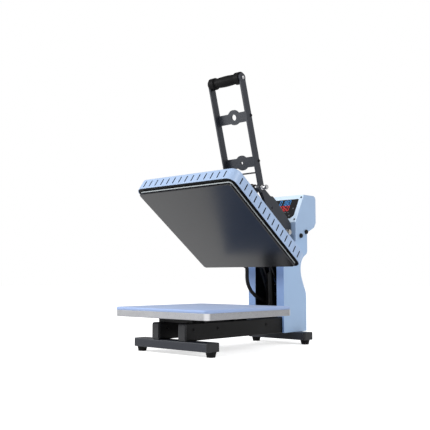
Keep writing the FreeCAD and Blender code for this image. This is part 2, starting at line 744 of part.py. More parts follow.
def mains_fittings():
    back = column_back_y
    flange = slab_y(25, 13.5, 4, back, back + 3, inlet_z)
    barrel = slab_y(14.2, 10.2, 2, back - 22, back + 0.5, inlet_z)
    socket = slab_y(12.2, 8.2, 3, back - 17, back + 4, inlet_z)
    inlet = flange.fuse(barrel).removeSplitter().cut(socket)
    for x, z in ((-7.0, inlet_z - 2.0), (0.0, inlet_z + 2.4), (7.0, inlet_z - 2.0)):
        inlet = inlet.fuse(box(x - 1, x + 1, back - 18, back - 4, z - 2, z + 2))
    for x in (-20, 20):
        inlet = inlet.cut(Part.makeCylinder(1.7, 10, Vec(x, back - 2, inlet_z), Y_AXIS))
    save("power_inlet", inlet.removeSplitter())

    frame = slab_y(15.5, 12.5, 2, back, back + 2, switch_z)
    throat = slab_y(13.7, 10.5, 1, back - 18, back + 0.5, switch_z)
    room = slab_y(11.5, 8.5, 1, back - 16, back + 3, switch_z)
    axle_y = back - 6
    axle_r = 1.2
    axle = rod_x(-12, 12, axle_y, switch_z, axle_r)
    save("switch_frame", frame.fuse(throat).removeSplitter().cut(room).fuse(axle).removeSplitter())
    keep = box(-11, 11, back - 12, back + 6, switch_z - 7.4, switch_z + 7.4)
    rocker = Part.makeCylinder(19.0, 22, Vec(-11, back - 15.5, switch_z), X_AXIS).common(keep)
    valley = Part.makeCylinder(30.0, 24, Vec(-12, back + 31.2, switch_z), X_AXIS)
    rocker = rocker.cut(valley)
    rocker = rocker.cut(rod_x(-12, 12, axle_y, switch_z, axle_r + run_fit))
    save("power_rocker", turned(rocker, axle_y, switch_z, -6))

    block = box(-66, -36, back - block_depth, back - column_sheet, block_z - 9, block_z + 9)
    for z in (block_z - 5, block_z, block_z + 5):
        for x in (-61, -41):
            block = block.cut(Part.makeCylinder(1.8, 6, Vec(x, back - block_depth - 1, z), Y_AXIS))
    save("terminal_block", block)


def cable():
    """The heater lead: straight runs joined by tangent arcs, from the platen's gland into the column."""
    mouth, heading = gland_mouth()
    points = [mouth, mouth + heading * 9] + [Vec(*p) for p in cable_route]
    points.append(Vec(-51.5, column_back_y - block_depth - block_gap, block_z))
    edges = []
    last = points[0]
    radii = []
    for before, corner, after in zip(points[:-2], points[1:-1], points[2:]):
        u = before - corner
        v = after - corner
        shorter = min(u.Length, v.Length)
        u.normalize()
        v.normalize()
        back = 0.45 * shorter
        half = math.acos(max(-1.0, min(1.0, u.dot(v)))) / 2
        radii.append(round(back * math.tan(half)))
        middle_way = (u + v).normalize()
        centre = corner + middle_way * (back / math.cos(half))
        middle = centre - middle_way * (back * math.tan(half))
        begin = corner + u * back
        finish = corner + v * back
        edges.append(Part.LineSegment(last, begin).toShape())
        edges.append(Part.Arc(begin, middle, finish).toShape())
        last = finish
    edges.append(Part.LineSegment(last, points[-1]).toShape())
    path = Part.Wire(edges)
    start_dir = (points[1] - points[0]).normalize()
    ring = Part.Wire(Part.Circle(points[0], start_dir, cable_d / 2).toShape())
    tube = path.makePipeShell([ring], True, True)
    print("cable length", round(path.Length), "radii", radii,
          "volume ratio", round(tube.Volume / (math.pi * cable_d ** 2 / 4 * path.Length), 4))
    save("heater_cable", tube)


# ------------------------------------------------------------------ carriage
def arm_outline_solid(x0, x1):
    """The bent side plate of the carriage, closed pose."""
    eye = (main_pivot_y, main_pivot_z, arm_eye_r)
    rear = (bracket_bolt_y, bracket_bolt_z, 13.5)
    nose = (handle_pivot_y, handle_pivot_z, handle_nose_r)
    crown = (bracket_mid_bolt_y, bracket_mid_bolt_z, 27.0)
    lobe = (0.0, beam_z, 23.0)
    knee = (arm_knee_y, arm_knee_z, 18.0)
    bars = []
    for begin, finish in ((eye, rear), (rear, crown), (crown, nose), (nose, lobe),
                          (lobe, knee), (knee, eye)):
        bars.append(bar_x(*begin, *finish, x0, x1))
    web = plate_x([(rear[0], rear[1], 0), (nose[0], nose[1], 0), (lobe[0], lobe[1], 0),
                   (knee[0], knee[1], 0)], x0, x1)
    heel = plate_x([(rear[0], rear[1], 0), (knee[0], knee[1], 0), (eye[0], eye[1], 0)], x0, x1)
    plate = fuse(bars + [web, heel])
    window = plate_x([(46, 300, 8), (50, 341, 4), (86, 331, 10), (99, 300, 12), (90, 277, 10), (54, 277, 10)],
                     x0 - 1, x1 + 1)
    slot = bar_x(arm_slot_y - 16, 287, 13, arm_slot_y + 16, 289, 13, x0 - 1, x1 + 1)
    return plate.cut(window).cut(slot)


def carriage():
    outer = arm_inner_x + arm_thick
    arm = arm_outline_solid(arm_inner_x, outer)
    bush_wall = 2.0
    for y, z, d in ((main_pivot_y, main_pivot_z, main_pivot_d), (handle_pivot_y, handle_pivot_z, handle_pivot_d)):
        arm = arm.cut(rod_x(0, 80, y, z, d / 2 + bush_wall + 0.02))
    for y in (-beam_bolt_y, beam_bolt_y):
        arm = arm.cut(rod_x(0, 80, y, beam_z, beam_bolt_d / 2 + bolt_fit))
    bracket_bolts = ((bracket_bolt_y, bracket_bolt_z), (bracket_mid_bolt_y, bracket_mid_bolt_z))
    for y, z in bracket_bolts:
        arm = arm.cut(rod_x(0, 80, y, z, bracket_bolt_d / 2 + bolt_fit))
    strut_y, strut_z = turned_point(strut_head_y, strut_head_z, main_pivot_y, main_pivot_z, open_angle)
    arm = arm.cut(rod_x(0, 80, strut_y, strut_z, strut_pin_d / 2 + 0.02))
    save("carriage_arm_right", opened(arm))
    save("carriage_arm_left", opened(mirror_x(arm)))

    x0 = bracket_inner_x
    x1 = bracket_inner_x + bracket_thick
    outline = [
        (handle_pivot_y, handle_pivot_z + handle_nose_r, 0),
        (89, 348, 8), (98, 355, 6), (126, 356, 14), (227, 346, 14), (239, 331, 9), (240, 303, 12),
        (222, 296, 8), (120, 292, 30), (80, 313, 14), (66, 321.5, 8),
        (handle_pivot_y + 6, handle_pivot_z - 2.5, 0),
    ]
    bracket = fuse([plate_x(outline, x0, x1), rod_x(x0, x1, handle_pivot_y, handle_pivot_z, handle_nose_r)])
    bracket = bracket.cut(rod_x(0, 80, handle_pivot_y, handle_pivot_z, handle_pivot_d / 2 + bush_wall + 0.02))
    for y, z in bracket_bolts:
        bracket = bracket.cut(rod_x(0, 80, y, z, bracket_bolt_d / 2 + bolt_fit))
    save("arm_brackets", [opened(s) for s in both_sides(bracket)])

    bushes = []
    for y, z, d, xa, xb in (
            (main_pivot_y, main_pivot_z, main_pivot_d, arm_inner_x, outer),
            (handle_pivot_y, handle_pivot_z, handle_pivot_d, arm_inner_x, outer),
            (handle_pivot_y, handle_pivot_z, handle_pivot_d, x0, x1)):
        bush = rod_x(xa, xb, y, z, d / 2 + bush_wall).cut(rod_x(xa - 1, xb + 1, y, z, d / 2 + run_fit))
        bushes += both_sides(opened(bush))
    save("pivot_bushes", bushes)

    bolts = []
    bolt_r = bracket_bolt_d / 2
    for y, z in bracket_bolts:
        head = rod_x(arm_inner_x - 4, arm_inner_x, y, z, bracket_bolt_d * 0.8)
        shank = rod_x(arm_inner_x - 1, x1, y, z, bolt_r)
        shoulder = rod_x(outer, x0, y, z, bracket_bolt_d * 0.8)
        pieces = [head, shank, shoulder]
        if y == bracket_bolt_y:
            pieces.append(rod_x(x1, x1 + 1.5, y, z, bracket_bolt_d * 0.95))
            pieces.append(rod_x(x1, x1 + 12, y, z, bolt_r))
            pieces.append(hexagon_x(x1 + 1.4, x1 + 9.5, y, z, bracket_bolt_d * 1.6))
        bolts.append(fuse(pieces))
    for y in (-beam_bolt_y, beam_bolt_y):
        bolt = side_bolt(outer - arm_thick - 14, outer, y, beam_z, beam_bolt_d, beam_bolt_d * 0.75, bolt_head_h)
        bolts.append(bolt)
    save("carriage_bolts", [opened(s) for bolt in bolts for s in both_sides(bolt)])

    half = arm_inner_x - 0.02
    beam = box(-half, half, -beam_half_y, beam_half_y, beam_low, beam_high)
    beam = beam.makeFillet(3, [e for e in beam.Edges if abs(e.BoundBox.XLength - 2 * half) < 1e-3])
    beam = beam.cut(rod_z(beam_low - 1, beam_high + 1, 0, 0, screw_d / 2 + run_fit))
    for x in (-guide_pin_x, guide_pin_x):
        beam = beam.cut(rod_z(beam_low - 1, beam_high + 1, x, 0, guide_pin_d / 2 + run_fit))
    for side_sign in (-1, 1):
        for y in (-beam_bolt_y, beam_bolt_y):
            x0b = min(side_sign * (half - 16), side_sign * (half + 1))
            beam = beam.cut(rod_x(x0b, x0b + 17, y, beam_z, beam_bolt_d / 2 + 0.02))
    save("pressure_beam", opened(beam))

    pin = rod_x(-outer, outer, strut_head_y, strut_head_z, strut_pin_d / 2)
    collars = []
    for side_sign in (-1, 1):
        mid = side_sign * (strut_tube_d / 2 + 1.2)
        collars.append(rod_x(mid - 1, mid + 1, strut_head_y, strut_head_z, strut_pin_d / 2 + 3))
    save("strut_upper_pin", fuse([pin] + collars))


# ------------------------------------------------------------------ heated platen
def cover_slots():
    """Cooling slots through the four walls of the cover."""
    low = cover_low + slot_mid - slot_long / 2
    high = low + slot_long
    slots = []
    for i in range(slot_count):
        along = (i - (slot_count - 1) / 2) * slot_pitch
        for size, swap in ((cover_size_y, False), (cover_size_x, True)):
            half, r = slot_wide / 2, slot_wide * 0.49
            corners = [(along - half, low, r), (along + half, low, r),
                       (along + half, high, r), (along - half, high, r)]
            for wall in (-size / 2, size / 2):
                if swap:
                    wire = rounded_wire(corners, lambda a, b: Vec(wall - 4, a, b))
                    slots.append(Part.Face(wire).extrude(Vec(8, 0, 0)))
                else:
                    wire = rounded_wire(corners, lambda a, b: Vec(a, wall - 4, b))
                    slots.append(Part.Face(wire).extrude(Vec(0, 8, 0)))
    return slots


def heated_platen():
    plate = slab(heat_plate_x, heat_plate_y, heat_plate_corner_r, plate_face, plate_top)
    plate = plate.makeChamfer(heat_plate_chamfer,
                              [e for e in plate.Edges if abs(e.BoundBox.ZMax - plate_face) < 1e-3])
    posts = []
    post_places = [(x, y) for x in (-hanger_post_xy, hanger_post_xy) for y in (-hanger_post_xy, hanger_post_xy)]
    for x, y in post_places:
        stud_r = 5.0
        plate = plate.cut(rod_z(plate_top - 8, plate_top + 1, x, y, stud_r + 0.02))
        post = rod_z(plate_top, hanger_z, x, y, hanger_post_d / 2)
        stud = rod_z(plate_top - 7.5, hanger_z + hanger_thick + 9, x, y, stud_r)
        nut = hexagon_x(hanger_z + hanger_thick, hanger_z + hanger_thick + 7, 0, 0, 16)
        nut.rotate(Vec(0, 0, 0), Y_AXIS, -90)
        nut.translate(Vec(x, y, 0))
        posts.append(fuse([post, stud, nut]))
    for x in (-guide_pin_x, guide_pin_x):
        posts.append(rod_z(hanger_z, beam_high + 2, x, 0, guide_pin_d / 2))
    save("heat_plate", opened(plate))
    save("hanger_posts", [opened(p) for p in posts])

    inner_x = cover_size_x - 2 * cover_sheet
    inner_y = cover_size_y - 2 * cover_sheet
    inner_r = cover_corner_r - cover_sheet
    cover = slab(cover_size_x, cover_size_y, cover_corner_r, cover_low, cover_top)
    cover = cover.makeFillet(cover_edge_r, [e for e in cover.Edges if abs(e.BoundBox.ZMin - cover_top) < 1e-3])
    hollow = slab(inner_x, inner_y, inner_r, cover_low - 1, cover_top - cover_sheet)
    hollow = hollow.makeFillet(cover_edge_r - cover_sheet,
                               [e for e in hollow.Edges if abs(e.BoundBox.ZMin - cover_top + cover_sheet) < 1e-3])
    cover = cover.cut(hollow)
    for x, y in post_places:
        cover = cover.cut(rod_z(cover_top - 4, cover_top + 1, x, y, hanger_post_d / 2 + bolt_fit))
    cover = cover.cut(Part.makeCompound(cover_slots()))
    gland_z = cover_low + slot_mid
    gland_y = cover_size_y / 2
    cover = cover.cut(Part.makeCylinder(gland_neck_r + 0.2, 8, Vec(gland_x, gland_y - 4, gland_z), Y_AXIS))
    save("platen_cover", opened(max(cover.Solids, key=lambda s: s.Volume)))

    gland = fuse([
        Part.makeCylinder(gland_d / 2, 7, Vec(gland_x, gland_y + 0.02, gland_z), Y_AXIS),
        Part.makeCone(gland_d / 2 - 1.5, cable_d / 2 + 1.4, gland_len - 7,
                      Vec(gland_x, gland_y + 7, gland_z), Y_AXIS),
        Part.makeCylinder(gland_neck_r, 8, Vec(gland_x, gland_y - 7.5, gland_z), Y_AXIS),
    ])
    save("cable_gland", opened(gland))

    lip_low = cover_low + tray_drop
    tray_x = inner_x - 0.4
    tray_y = inner_y - 0.4
    tray_r = inner_r - 0.2
    tray_top = plate_top + insulation_thick
    tray = slab(tray_x, tray_y, tray_r, lip_low, tray_top)
    tray = tray.cut(slab(tray_x - 2 * tray_sheet, tray_y - 2 * tray_sheet, tray_r - tray_sheet,
                         lip_low + tray_sheet, tray_top + 1))
    tray = tray.cut(slab(heat_plate_x + 1, heat_plate_y + 1, heat_plate_corner_r + 0.5,
                         lip_low - 1, lip_low + tray_sheet + 1))
    band_low = cover_low + slot_mid - slot_long / 2 - 2
    tray = tray.common(box(-300, 300, -300, 300, lip_low - 1, band_low))
    save("insulation_tray", opened(tray))

    board = slab(heat_plate_x - 4, heat_plate_y - 4, heat_plate_corner_r, plate_top, tray_top)
    for x, y in post_places:
        board = board.cut(rod_z(plate_top - 1, tray_top + 1, x, y, hanger_post_d / 2 + bolt_fit))
    save("insulation_board", opened(board))

    hanger = slab(hanger_size, hanger_size, 14, hanger_z, hanger_z + hanger_thick)
    hanger = hanger.fuse(rod_z(hanger_z, hub_top, 0, 0, hub_d / 2)).removeSplitter()
    hanger = hanger.cut(rod_z(hub_top - screw_foot, hub_top + 1, 0, 0, screw_d / 2 + run_fit))
    for x, y in post_places:
        hanger = hanger.cut(rod_z(hanger_z - 1, hanger_z + hanger_thick + 1, x, y, 5.3))
    for x in (-guide_pin_x, guide_pin_x):
        hanger = hanger.cut(rod_z(hanger_z - 1, hub_top + 1, x, 0, guide_pin_d / 2 + 0.02))
    save("hanger_plate", opened(hanger))


def pressure_screw():
    foot = hub_top - screw_foot + side_gap
    knob_low = beam_high + knob_gap
    screw = rod_z(foot, knob_low + 20, 0, 0, screw_d / 2)
    collar = rod_z(hub_top + side_gap, hub_top + side_gap + 4, 0, 0, screw_d / 2 + 5)
    save("pressure_screw", opened(fuse([screw, collar])))

    knob = rod_z(knob_low, knob_low + knob_height, 0, 0, knob_r)
    knob = knob.makeFillet(3.0, [e for e in knob.Edges if e.BoundBox.ZMin > knob_low + knob_height - 1e-3])
    lobes = 8
    for i in range(lobes):
        turn = 2 * math.pi * i / lobes
        reach = knob_r + 4.5
        knob = knob.cut(rod_z(knob_low + 8, knob_low + knob_height + 1,
                              reach * math.cos(turn), reach * math.sin(turn), 8))
    knob = knob.cut(rod_z(knob_low - 1, knob_low + 20.4, 0, 0, screw_d / 2 + 0.02))
    save("pressure_knob", opened(knob))


# ------------------------------------------------------------------ handle, modelled upright over its pivot
def handle_placed(shape):
    y, z = turned_point(handle_pivot_y, handle_pivot_z, main_pivot_y, main_pivot_z, -open_angle)
    moved = shape.copy()
    moved.rotate(Vec(0, 0, 0), X_AXIS, handle_lean)
    moved.translate(Vec(0, y, z))
    return moved


def brace(at, hole_r, disc_up):
    """A cross plate between the handle's arms with a round boss in the middle."""
    half = handle_plate_inner_x
    front = brace_back - brace_thick / 2
    low = at - brace_height / 2
    high = at + brace_height / 2
    plate = box(-half, half, front, front + brace_thick, low, high)
    disc = Part.makeCylinder(brace_disc_r, brace_thick, Vec(0, front, at + disc_up), Y_AXIS)
    plate = plate.fuse(disc).removeSplitter()
    corners = [e for e in plate.Edges
               if e.BoundBox.YLength > brace_thick - 1e-3 and abs(abs(e.BoundBox.Center.x) - half) > 5
               and e.BoundBox.XLength < 1e-3]
    plate = plate.makeFillet(5.0, corners)
    plate = plate.cut(Part.makeCylinder(hole_r, brace_thick + 2, Vec(0, front - 1, at + disc_up), Y_AXIS))
    for x in (-half, half):
        x0 = min(x, x - math.copysign(14, x))
        plate = plate.cut(rod_x(x0 - 0.1, x0 + 14.1, brace_back, at, brace_screw_d / 2 + 0.02))
    return plate


def handle():
    x0 = handle_plate_inner_x
    x1 = handle_plate_inner_x + handle_plate_thick
    half = handle_plate_width / 2
    arm = fuse([bar_x(0, 0, half, 0, handle_length, half, x0, x1), rod_x(x0, x1, 0, 0, handle_end_r),
                rod_x(x0, x1, 0, handle_length, handle_end_r)])
    arm = arm.makeFillet(1.0, [e for e in arm.Edges if e.BoundBox.XMin > x1 - 1e-3])
    arm = arm.cut(rod_x(0, 80, 0, 0, 6.02))
    arm = arm.cut(rod_x(0, 80, 0, handle_length, grip_bolt_d / 2 + bolt_fit))
    for at in (brace_lower_at, brace_upper_at):
        arm = arm.cut(rod_x(0, 80, brace_back, at, brace_screw_d / 2 + bolt_fit))
    arm = arm.cut(rod_x(0, x0 + 4, 0, cross_rod_at, cross_rod_d / 2 + 0.02))
    save("handle_arm_right", handle_placed(arm))
    save("handle_arm_left", handle_placed(mirror_x(arm)))

    inner = x0 - 0.1
    profile = [
        Vec(-inner, grip_end_r, 0), Vec(-inner + grip_collar, grip_end_r, 0),
        Vec(-inner + grip_collar + 3, grip_neck_r, 0),
    ]
    swell = Part.BSplineCurve()
    swell.interpolate([profile[-1], Vec(0, grip_mid_r, 0), Vec(-profile[-1].x, grip_neck_r, 0)])
    right = [Vec(inner - grip_collar, grip_end_r, 0), Vec(inner, grip_end_r, 0)]
    bore_r = grip_bolt_d / 2 + bolt_fit
    edges = [Part.LineSegment(profile[0], profile[1]).toShape(),
             Part.LineSegment(profile[1], profile[2]).toShape(),
             swell.toShape(),
             Part.LineSegment(Vec(-profile[-1].x, grip_neck_r, 0), right[0]).toShape(),
             Part.LineSegment(right[0], right[1]).toShape(),
             Part.LineSegment(right[1], Vec(inner, bore_r, 0)).toShape(),
             Part.LineSegment(Vec(inner, bore_r, 0), Vec(-inner, bore_r, 0)).toShape(),
             Part.LineSegment(Vec(-inner, bore_r, 0), profile[0]).toShape()]
    grip = Part.Face(Part.Wire(edges)).revolve(Vec(0, 0, 0), X_AXIS, 360)
    grip.translate(Vec(0, 0, handle_length))
    save("handle_grip", handle_placed(grip))

    grip_bolt = rod_x(-x1, x1, 0, handle_length, grip_bolt_d / 2)
    head = rod_x(x1, x1 + grip_bolt_head_h, 0, handle_length, grip_bolt_head_r)
    socket = hexagon_x(x1 + 1, x1 + grip_bolt_head_h + 1, 0, handle_length, grip_bolt_head_r)
    grip_bolt = fuse([grip_bolt] + both_sides(head))
    for hole in both_sides(socket):
        grip_bolt = grip_bolt.cut(hole)
    save("grip_bolt", handle_placed(grip_bolt.removeSplitter()))

    save("brace_upper", handle_placed(brace(brace_upper_at, brace_upper_hole_r, brace_upper_disc_up)))
    save("brace_lower", handle_placed(brace(brace_lower_at, brace_lower_hole_r, 0)))
    screws = []
    for at in (brace_lower_at, brace_upper_at):
        stem = rod_x(x0 - 12, x1 + 0.5, brace_back, at, brace_screw_d / 2)
        head = rod_x(x1, x1 + 2.6, brace_back, at, brace_screw_head_r)
        screws += both_sides(handle_placed(stem.fuse(head).removeSplitter()))
    save("brace_screws", screws)
    save("cross_rod", handle_placed(rod_x(-x0 - 3.9, x0 + 3.9, 0, cross_rod_at, cross_rod_d / 2)))

    shaft = rod_x(-x0, x0, 0, 0, handle_pivot_d / 2)
    shaft = shaft.fuse(rod_x(-x1, x1, 0, 0, 6.0)).removeSplitter()
    save("handle_pivot_shaft", handle_placed(shaft))
    nuts = []
    stud_end = x1 + pivot_stud_out
    washer = rod_x(x1, x1 + 2, 0, 0, 8).fuse(rod_x(x1, stud_end + 0.5, 0, 0, 5))
    nut = hexagon_x(stud_end, stud_end + 7, 0, 0, pivot_nut_across)
    nuts += both_sides(handle_placed(fuse([washer, nut])))
    save("handle_pivot_nuts", nuts)

    turn = math.radians(lever_angle - handle_lean)
    pin_y = lever_reach * math.cos(turn)
    pin_z = lever_reach * math.sin(turn)
    lever = bar_x(0, 0, 15, pin_y, pin_z, 11, lever_inner_x, lever_inner_x + lever_thick)
    lever = lever.cut(rod_x(0, 80, 0, 0, handle_pivot_d / 2 + 0.02))
    lever = lever.cut(rod_x(0, 80, pin_y, pin_z, link_pin_d / 2 + 0.02))
    save("toggle_levers", [handle_placed(s) for s in both_sides(lever)])
    outer = lever_inner_x + lever_thick
    pin = rod_x(-outer - 2, outer + 2, pin_y, pin_z, link_pin_d / 2)
    for side_sign in (-1, 1):
        mid = side_sign * (outer + 1.2)
        pin = pin.fuse(rod_x(mid - 0.7, mid + 0.7, pin_y, pin_z, link_pin_d / 2 + 2.5))
    save("toggle_pin", handle_placed(pin.removeSplitter()))


def toggle_links():
    """The pair of links between the handle's levers and the column, with a little lost motion in the eye."""
    hy, hz = turned_point(handle_pivot_y, handle_pivot_z, main_pivot_y, main_pivot_z, -open_angle)
    turn = math.radians(lever_angle)
    pin_y = hy + lever_reach * math.cos(turn)
    pin_z = hz + lever_reach * math.sin(turn)
    x0 = link_inner_x
    x1 = link_inner_x + link_thick
    link = bar_x(link_pivot_y, link_pivot_z, link_half_width, pin_y, pin_z, link_half_width, x0, x1)
    eye_r = link_pin_d / 2 + link_slot_across + 6
    link = fuse([link, rod_x(x0, x1, link_pivot_y, link_pivot_z, link_pivot_d / 2 + 6),
                 rod_x(x0, x1, pin_y, pin_z, eye_r)])
    along = Vec(0, link_pivot_y - pin_y, link_pivot_z - pin_z).normalize()
    slot_r = link_pin_d / 2 + link_slot_across
    slot = bar_x(pin_y, pin_z, slot_r, pin_y + along.y * link_slot_along, pin_z + along.z * link_slot_along,
                 slot_r, x0 - 1, x1 + 1)
    link = link.cut(slot)
    link = link.cut(rod_x(x0 - 1, x1 + 1, link_pivot_y, link_pivot_z, link_pivot_d / 2 + run_fit))
    save("toggle_links", both_sides(link))


def gas_strut():
    """Gas spring from the column's floor to the carriage, modelled upright and laid on its line."""
    dy = strut_head_y - strut_foot_y
    dz = strut_head_z - strut_foot_z
    length = math.hypot(dy, dz)
    lean = -math.degrees(math.atan2(dy, dz))
    eye_half = strut_tube_d / 2 - 4.5
    eye_r = 11.0
    foot_eye = rod_x(-eye_half, eye_half, 0, 0, eye_r)
    neck = rod_z(0, strut_tube_low + 1, 0, 0, eye_half - 0.5)
    tube = rod_z(strut_tube_low, strut_tube_high, 0, 0, strut_tube_d / 2)
    tube = tube.makeFillet(2.5, [e for e in tube.Edges if e.BoundBox.ZLength < 1e-3])
    bore = rod_z(strut_tube_low + 12, strut_tube_high - 8, 0, 0, strut_rod_d / 2 + 3)
    body = foot_eye.fuse([neck, tube]).removeSplitter().cut(bore)
    body = body.cut(rod_x(-20, 20, 0, 0, strut_pin_d / 2 + run_fit))
    body = body.cut(rod_z(strut_tube_high - 10, strut_tube_high + 20, 0, 0, strut_rod_d / 2 + run_fit))
    head_r = strut_pin_d / 2 + strut_eye_play
    head_eye = rod_x(-eye_half, eye_half, 0, length, head_r + 4)
    stem = rod_z(length - 185, length - head_r - 1, 0, 0, strut_rod_d / 2)
    piston = rod_z(length - 187, length - 178, 0, 0, strut_rod_d / 2 + 2.6)
    rod = fuse([head_eye, stem, piston]).cut(rod_x(-20, 20, 0, length, head_r))
    for node, shape in (("strut_cylinder", body), ("strut_rod", rod)):
        placed = shape.copy()
        placed.rotate(Vec(0, 0, 0), X_AXIS, lean)
        placed.translate(Vec(0, strut_foot_y, strut_foot_z))
        save(node, placed)


def gland_mouth():
    """Where the heater lead leaves its gland, press open."""
    y, z = turned_point(cover_size_y / 2 + gland_len, cover_low + slot_mid,
                        main_pivot_y, main_pivot_z, -open_angle)
    turn = math.radians(-open_angle)
    return Vec(gland_x, y, z), Vec(0, math.cos(turn), math.sin(turn))


os.makedirs("parts", exist_ok=True)
base_frame()
lower_platen()
column()
pedestals()
control_box()
mains_fittings()
carriage()
heated_platen()
pressure_screw()
handle()
toggle_links()
gas_strut()
cable()
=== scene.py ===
import bpy
import bmesh
import math
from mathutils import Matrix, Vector


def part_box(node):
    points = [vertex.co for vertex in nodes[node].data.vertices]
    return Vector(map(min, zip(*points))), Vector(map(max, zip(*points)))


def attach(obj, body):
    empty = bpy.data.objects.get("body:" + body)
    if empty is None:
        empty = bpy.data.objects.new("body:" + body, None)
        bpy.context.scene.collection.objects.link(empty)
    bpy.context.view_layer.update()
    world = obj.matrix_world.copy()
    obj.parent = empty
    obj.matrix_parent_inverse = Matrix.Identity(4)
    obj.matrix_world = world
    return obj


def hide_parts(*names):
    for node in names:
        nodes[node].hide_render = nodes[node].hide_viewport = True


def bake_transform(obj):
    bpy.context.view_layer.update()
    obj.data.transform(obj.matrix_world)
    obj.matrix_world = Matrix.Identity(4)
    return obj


# The looks of a tabletop clamshell press, piece by piece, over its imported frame, in metres.
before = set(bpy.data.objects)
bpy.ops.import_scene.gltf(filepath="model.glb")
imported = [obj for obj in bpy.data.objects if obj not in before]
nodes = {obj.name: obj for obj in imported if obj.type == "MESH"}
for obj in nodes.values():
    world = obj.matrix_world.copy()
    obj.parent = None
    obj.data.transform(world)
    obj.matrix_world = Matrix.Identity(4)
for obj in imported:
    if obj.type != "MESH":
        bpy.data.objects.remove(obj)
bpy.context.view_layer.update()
scene = bpy.context.scene

# The studio: a long lens low in front of the press and to its right, tilted up a little, on a pale
# floor under a pale even sky. One soft lamp stands high in front, one to the right, and the
# strongest low to the left, where it fills the front wall of the open platen's cover.
scene.view_settings.view_transform = "Standard"
press_depth_middle = 0.149     # from the press's middle forward to the middle of its lower platen
camera_data = bpy.data.cameras.new("studio_camera")
camera_data.lens = 59.9
camera_data.sensor_width = 36.0
camera_data.clip_start = 0.05
camera = bpy.data.objects.new("studio_camera", camera_data)
camera.location = (1.497, -1.5927 - press_depth_middle, 0.2197)
camera.rotation_euler = (math.radians(95.0), 0.0, math.radians(42.34))
scene.collection.objects.link(camera)
scene.camera = camera


def soft_lamp(name, place, aim, size, power):
    data = bpy.data.lights.new(name, "AREA")
    data.shape = "DISK"
    data.size = size
    data.energy = power
    lamp = bpy.data.objects.new(name, data)
    lamp.location = place
    lamp.rotation_euler = (Vector(aim) - Vector(place)).to_track_quat("-Z", "Y").to_euler()
    scene.collection.objects.link(lamp)


soft_lamp("key_lamp", (0.2, -2.3, 2.3), (0.0, 0.0, 0.4), 1.6, 30.0)
soft_lamp("side_lamp", (2.4, 0.3, 1.6), (0.0, 0.0, 0.3), 1.4, 24.0)
soft_lamp("left_lamp", (-2.1, -2.2, 1.5), (0.0, -0.1, 0.55), 1.5, 66.0)

world = bpy.data.worlds.new("pale_sky")
world.use_nodes = True
scene.world = world
sky = world.node_tree
sky.nodes.clear()
sky_rays = sky.nodes.new("ShaderNodeLightPath")
sky_seen = sky.nodes.new("ShaderNodeMath")
sky_seen.operation = "MAXIMUM"
sky.links.new(sky_rays.outputs["Is Camera Ray"], sky_seen.inputs[0])
sky.links.new(sky_rays.outputs["Is Transmission Ray"], sky_seen.inputs[1])
sky_lights = sky.nodes.new("ShaderNodeBackground")
sky_lights.inputs["Strength"].default_value = 0.62
sky_shows = sky.nodes.new("ShaderNodeBackground")
sky_shows.inputs["Strength"].default_value = 1.0
sky_shows.inputs["Color"].default_value = (1.0, 1.0, 1.0, 1.0)
sky_lights.inputs["Color"].default_value = (1.0, 1.0, 1.0, 1.0)
sky_mix = sky.nodes.new("ShaderNodeMixShader")
sky_end = sky.nodes.new("ShaderNodeOutputWorld")
sky.links.new(sky_seen.outputs[0], sky_mix.inputs[0])
sky.links.new(sky_lights.outputs[0], sky_mix.inputs[1])
sky.links.new(sky_shows.outputs[0], sky_mix.inputs[2])
sky.links.new(sky_mix.outputs[0], sky_end.inputs["Surface"])

floor_mesh = bpy.data.meshes.new("studio_floor")
floor_reach = 14.0
floor_mesh.from_pydata([(-floor_reach, -floor_reach, 0), (floor_reach, -floor_reach, 0),
                        (floor_reach, floor_reach, 0), (-floor_reach, floor_reach, 0)], [], [(0, 1, 2, 3)])
floor = bpy.data.objects.new("studio_floor", floor_mesh)
scene.collection.objects.link(floor)
floor_paint = bpy.data.materials.new("pale_floor")
floor_paint.use_nodes = True
tree = floor_paint.node_tree
tree.nodes.clear()
floor_matt = tree.nodes.new("ShaderNodeBsdfDiffuse")
floor_matt.inputs["Color"].default_value = (0.86, 0.86, 0.86, 1.0)
floor_glow = tree.nodes.new("ShaderNodeEmission")
floor_glow.inputs["Color"].default_value = (1.0, 1.0, 1.0, 1.0)
floor_rays = tree.nodes.new("ShaderNodeLightPath")
floor_seen = tree.nodes.new("ShaderNodeMath")
floor_seen.operation = "MAXIMUM"
floor_level = tree.nodes.new("ShaderNodeMath")
floor_level.operation = "MULTIPLY"
floor_level.inputs[1].default_value = 0.62
floor_sum = tree.nodes.new("ShaderNodeAddShader")
floor_end = tree.nodes.new("ShaderNodeOutputMaterial")
floor_mirrored = tree.nodes.new("ShaderNodeMath")
floor_mirrored.operation = "MULTIPLY"
floor_mirrored.inputs[1].default_value = 0.7
tree.links.new(floor_rays.outputs["Is Glossy Ray"], floor_mirrored.inputs[0])
tree.links.new(floor_rays.outputs["Is Camera Ray"], floor_seen.inputs[0])
tree.links.new(floor_mirrored.outputs[0], floor_seen.inputs[1])
tree.links.new(floor_seen.outputs[0], floor_level.inputs[0])
tree.links.new(floor_level.outputs[0], floor_glow.inputs["Strength"])
tree.links.new(floor_matt.outputs[0], floor_sum.inputs[0])
tree.links.new(floor_glow.outputs[0], floor_sum.inputs[1])
tree.links.new(floor_sum.outputs[0], floor_end.inputs["Surface"])
floor_mesh.materials.append(floor_paint)


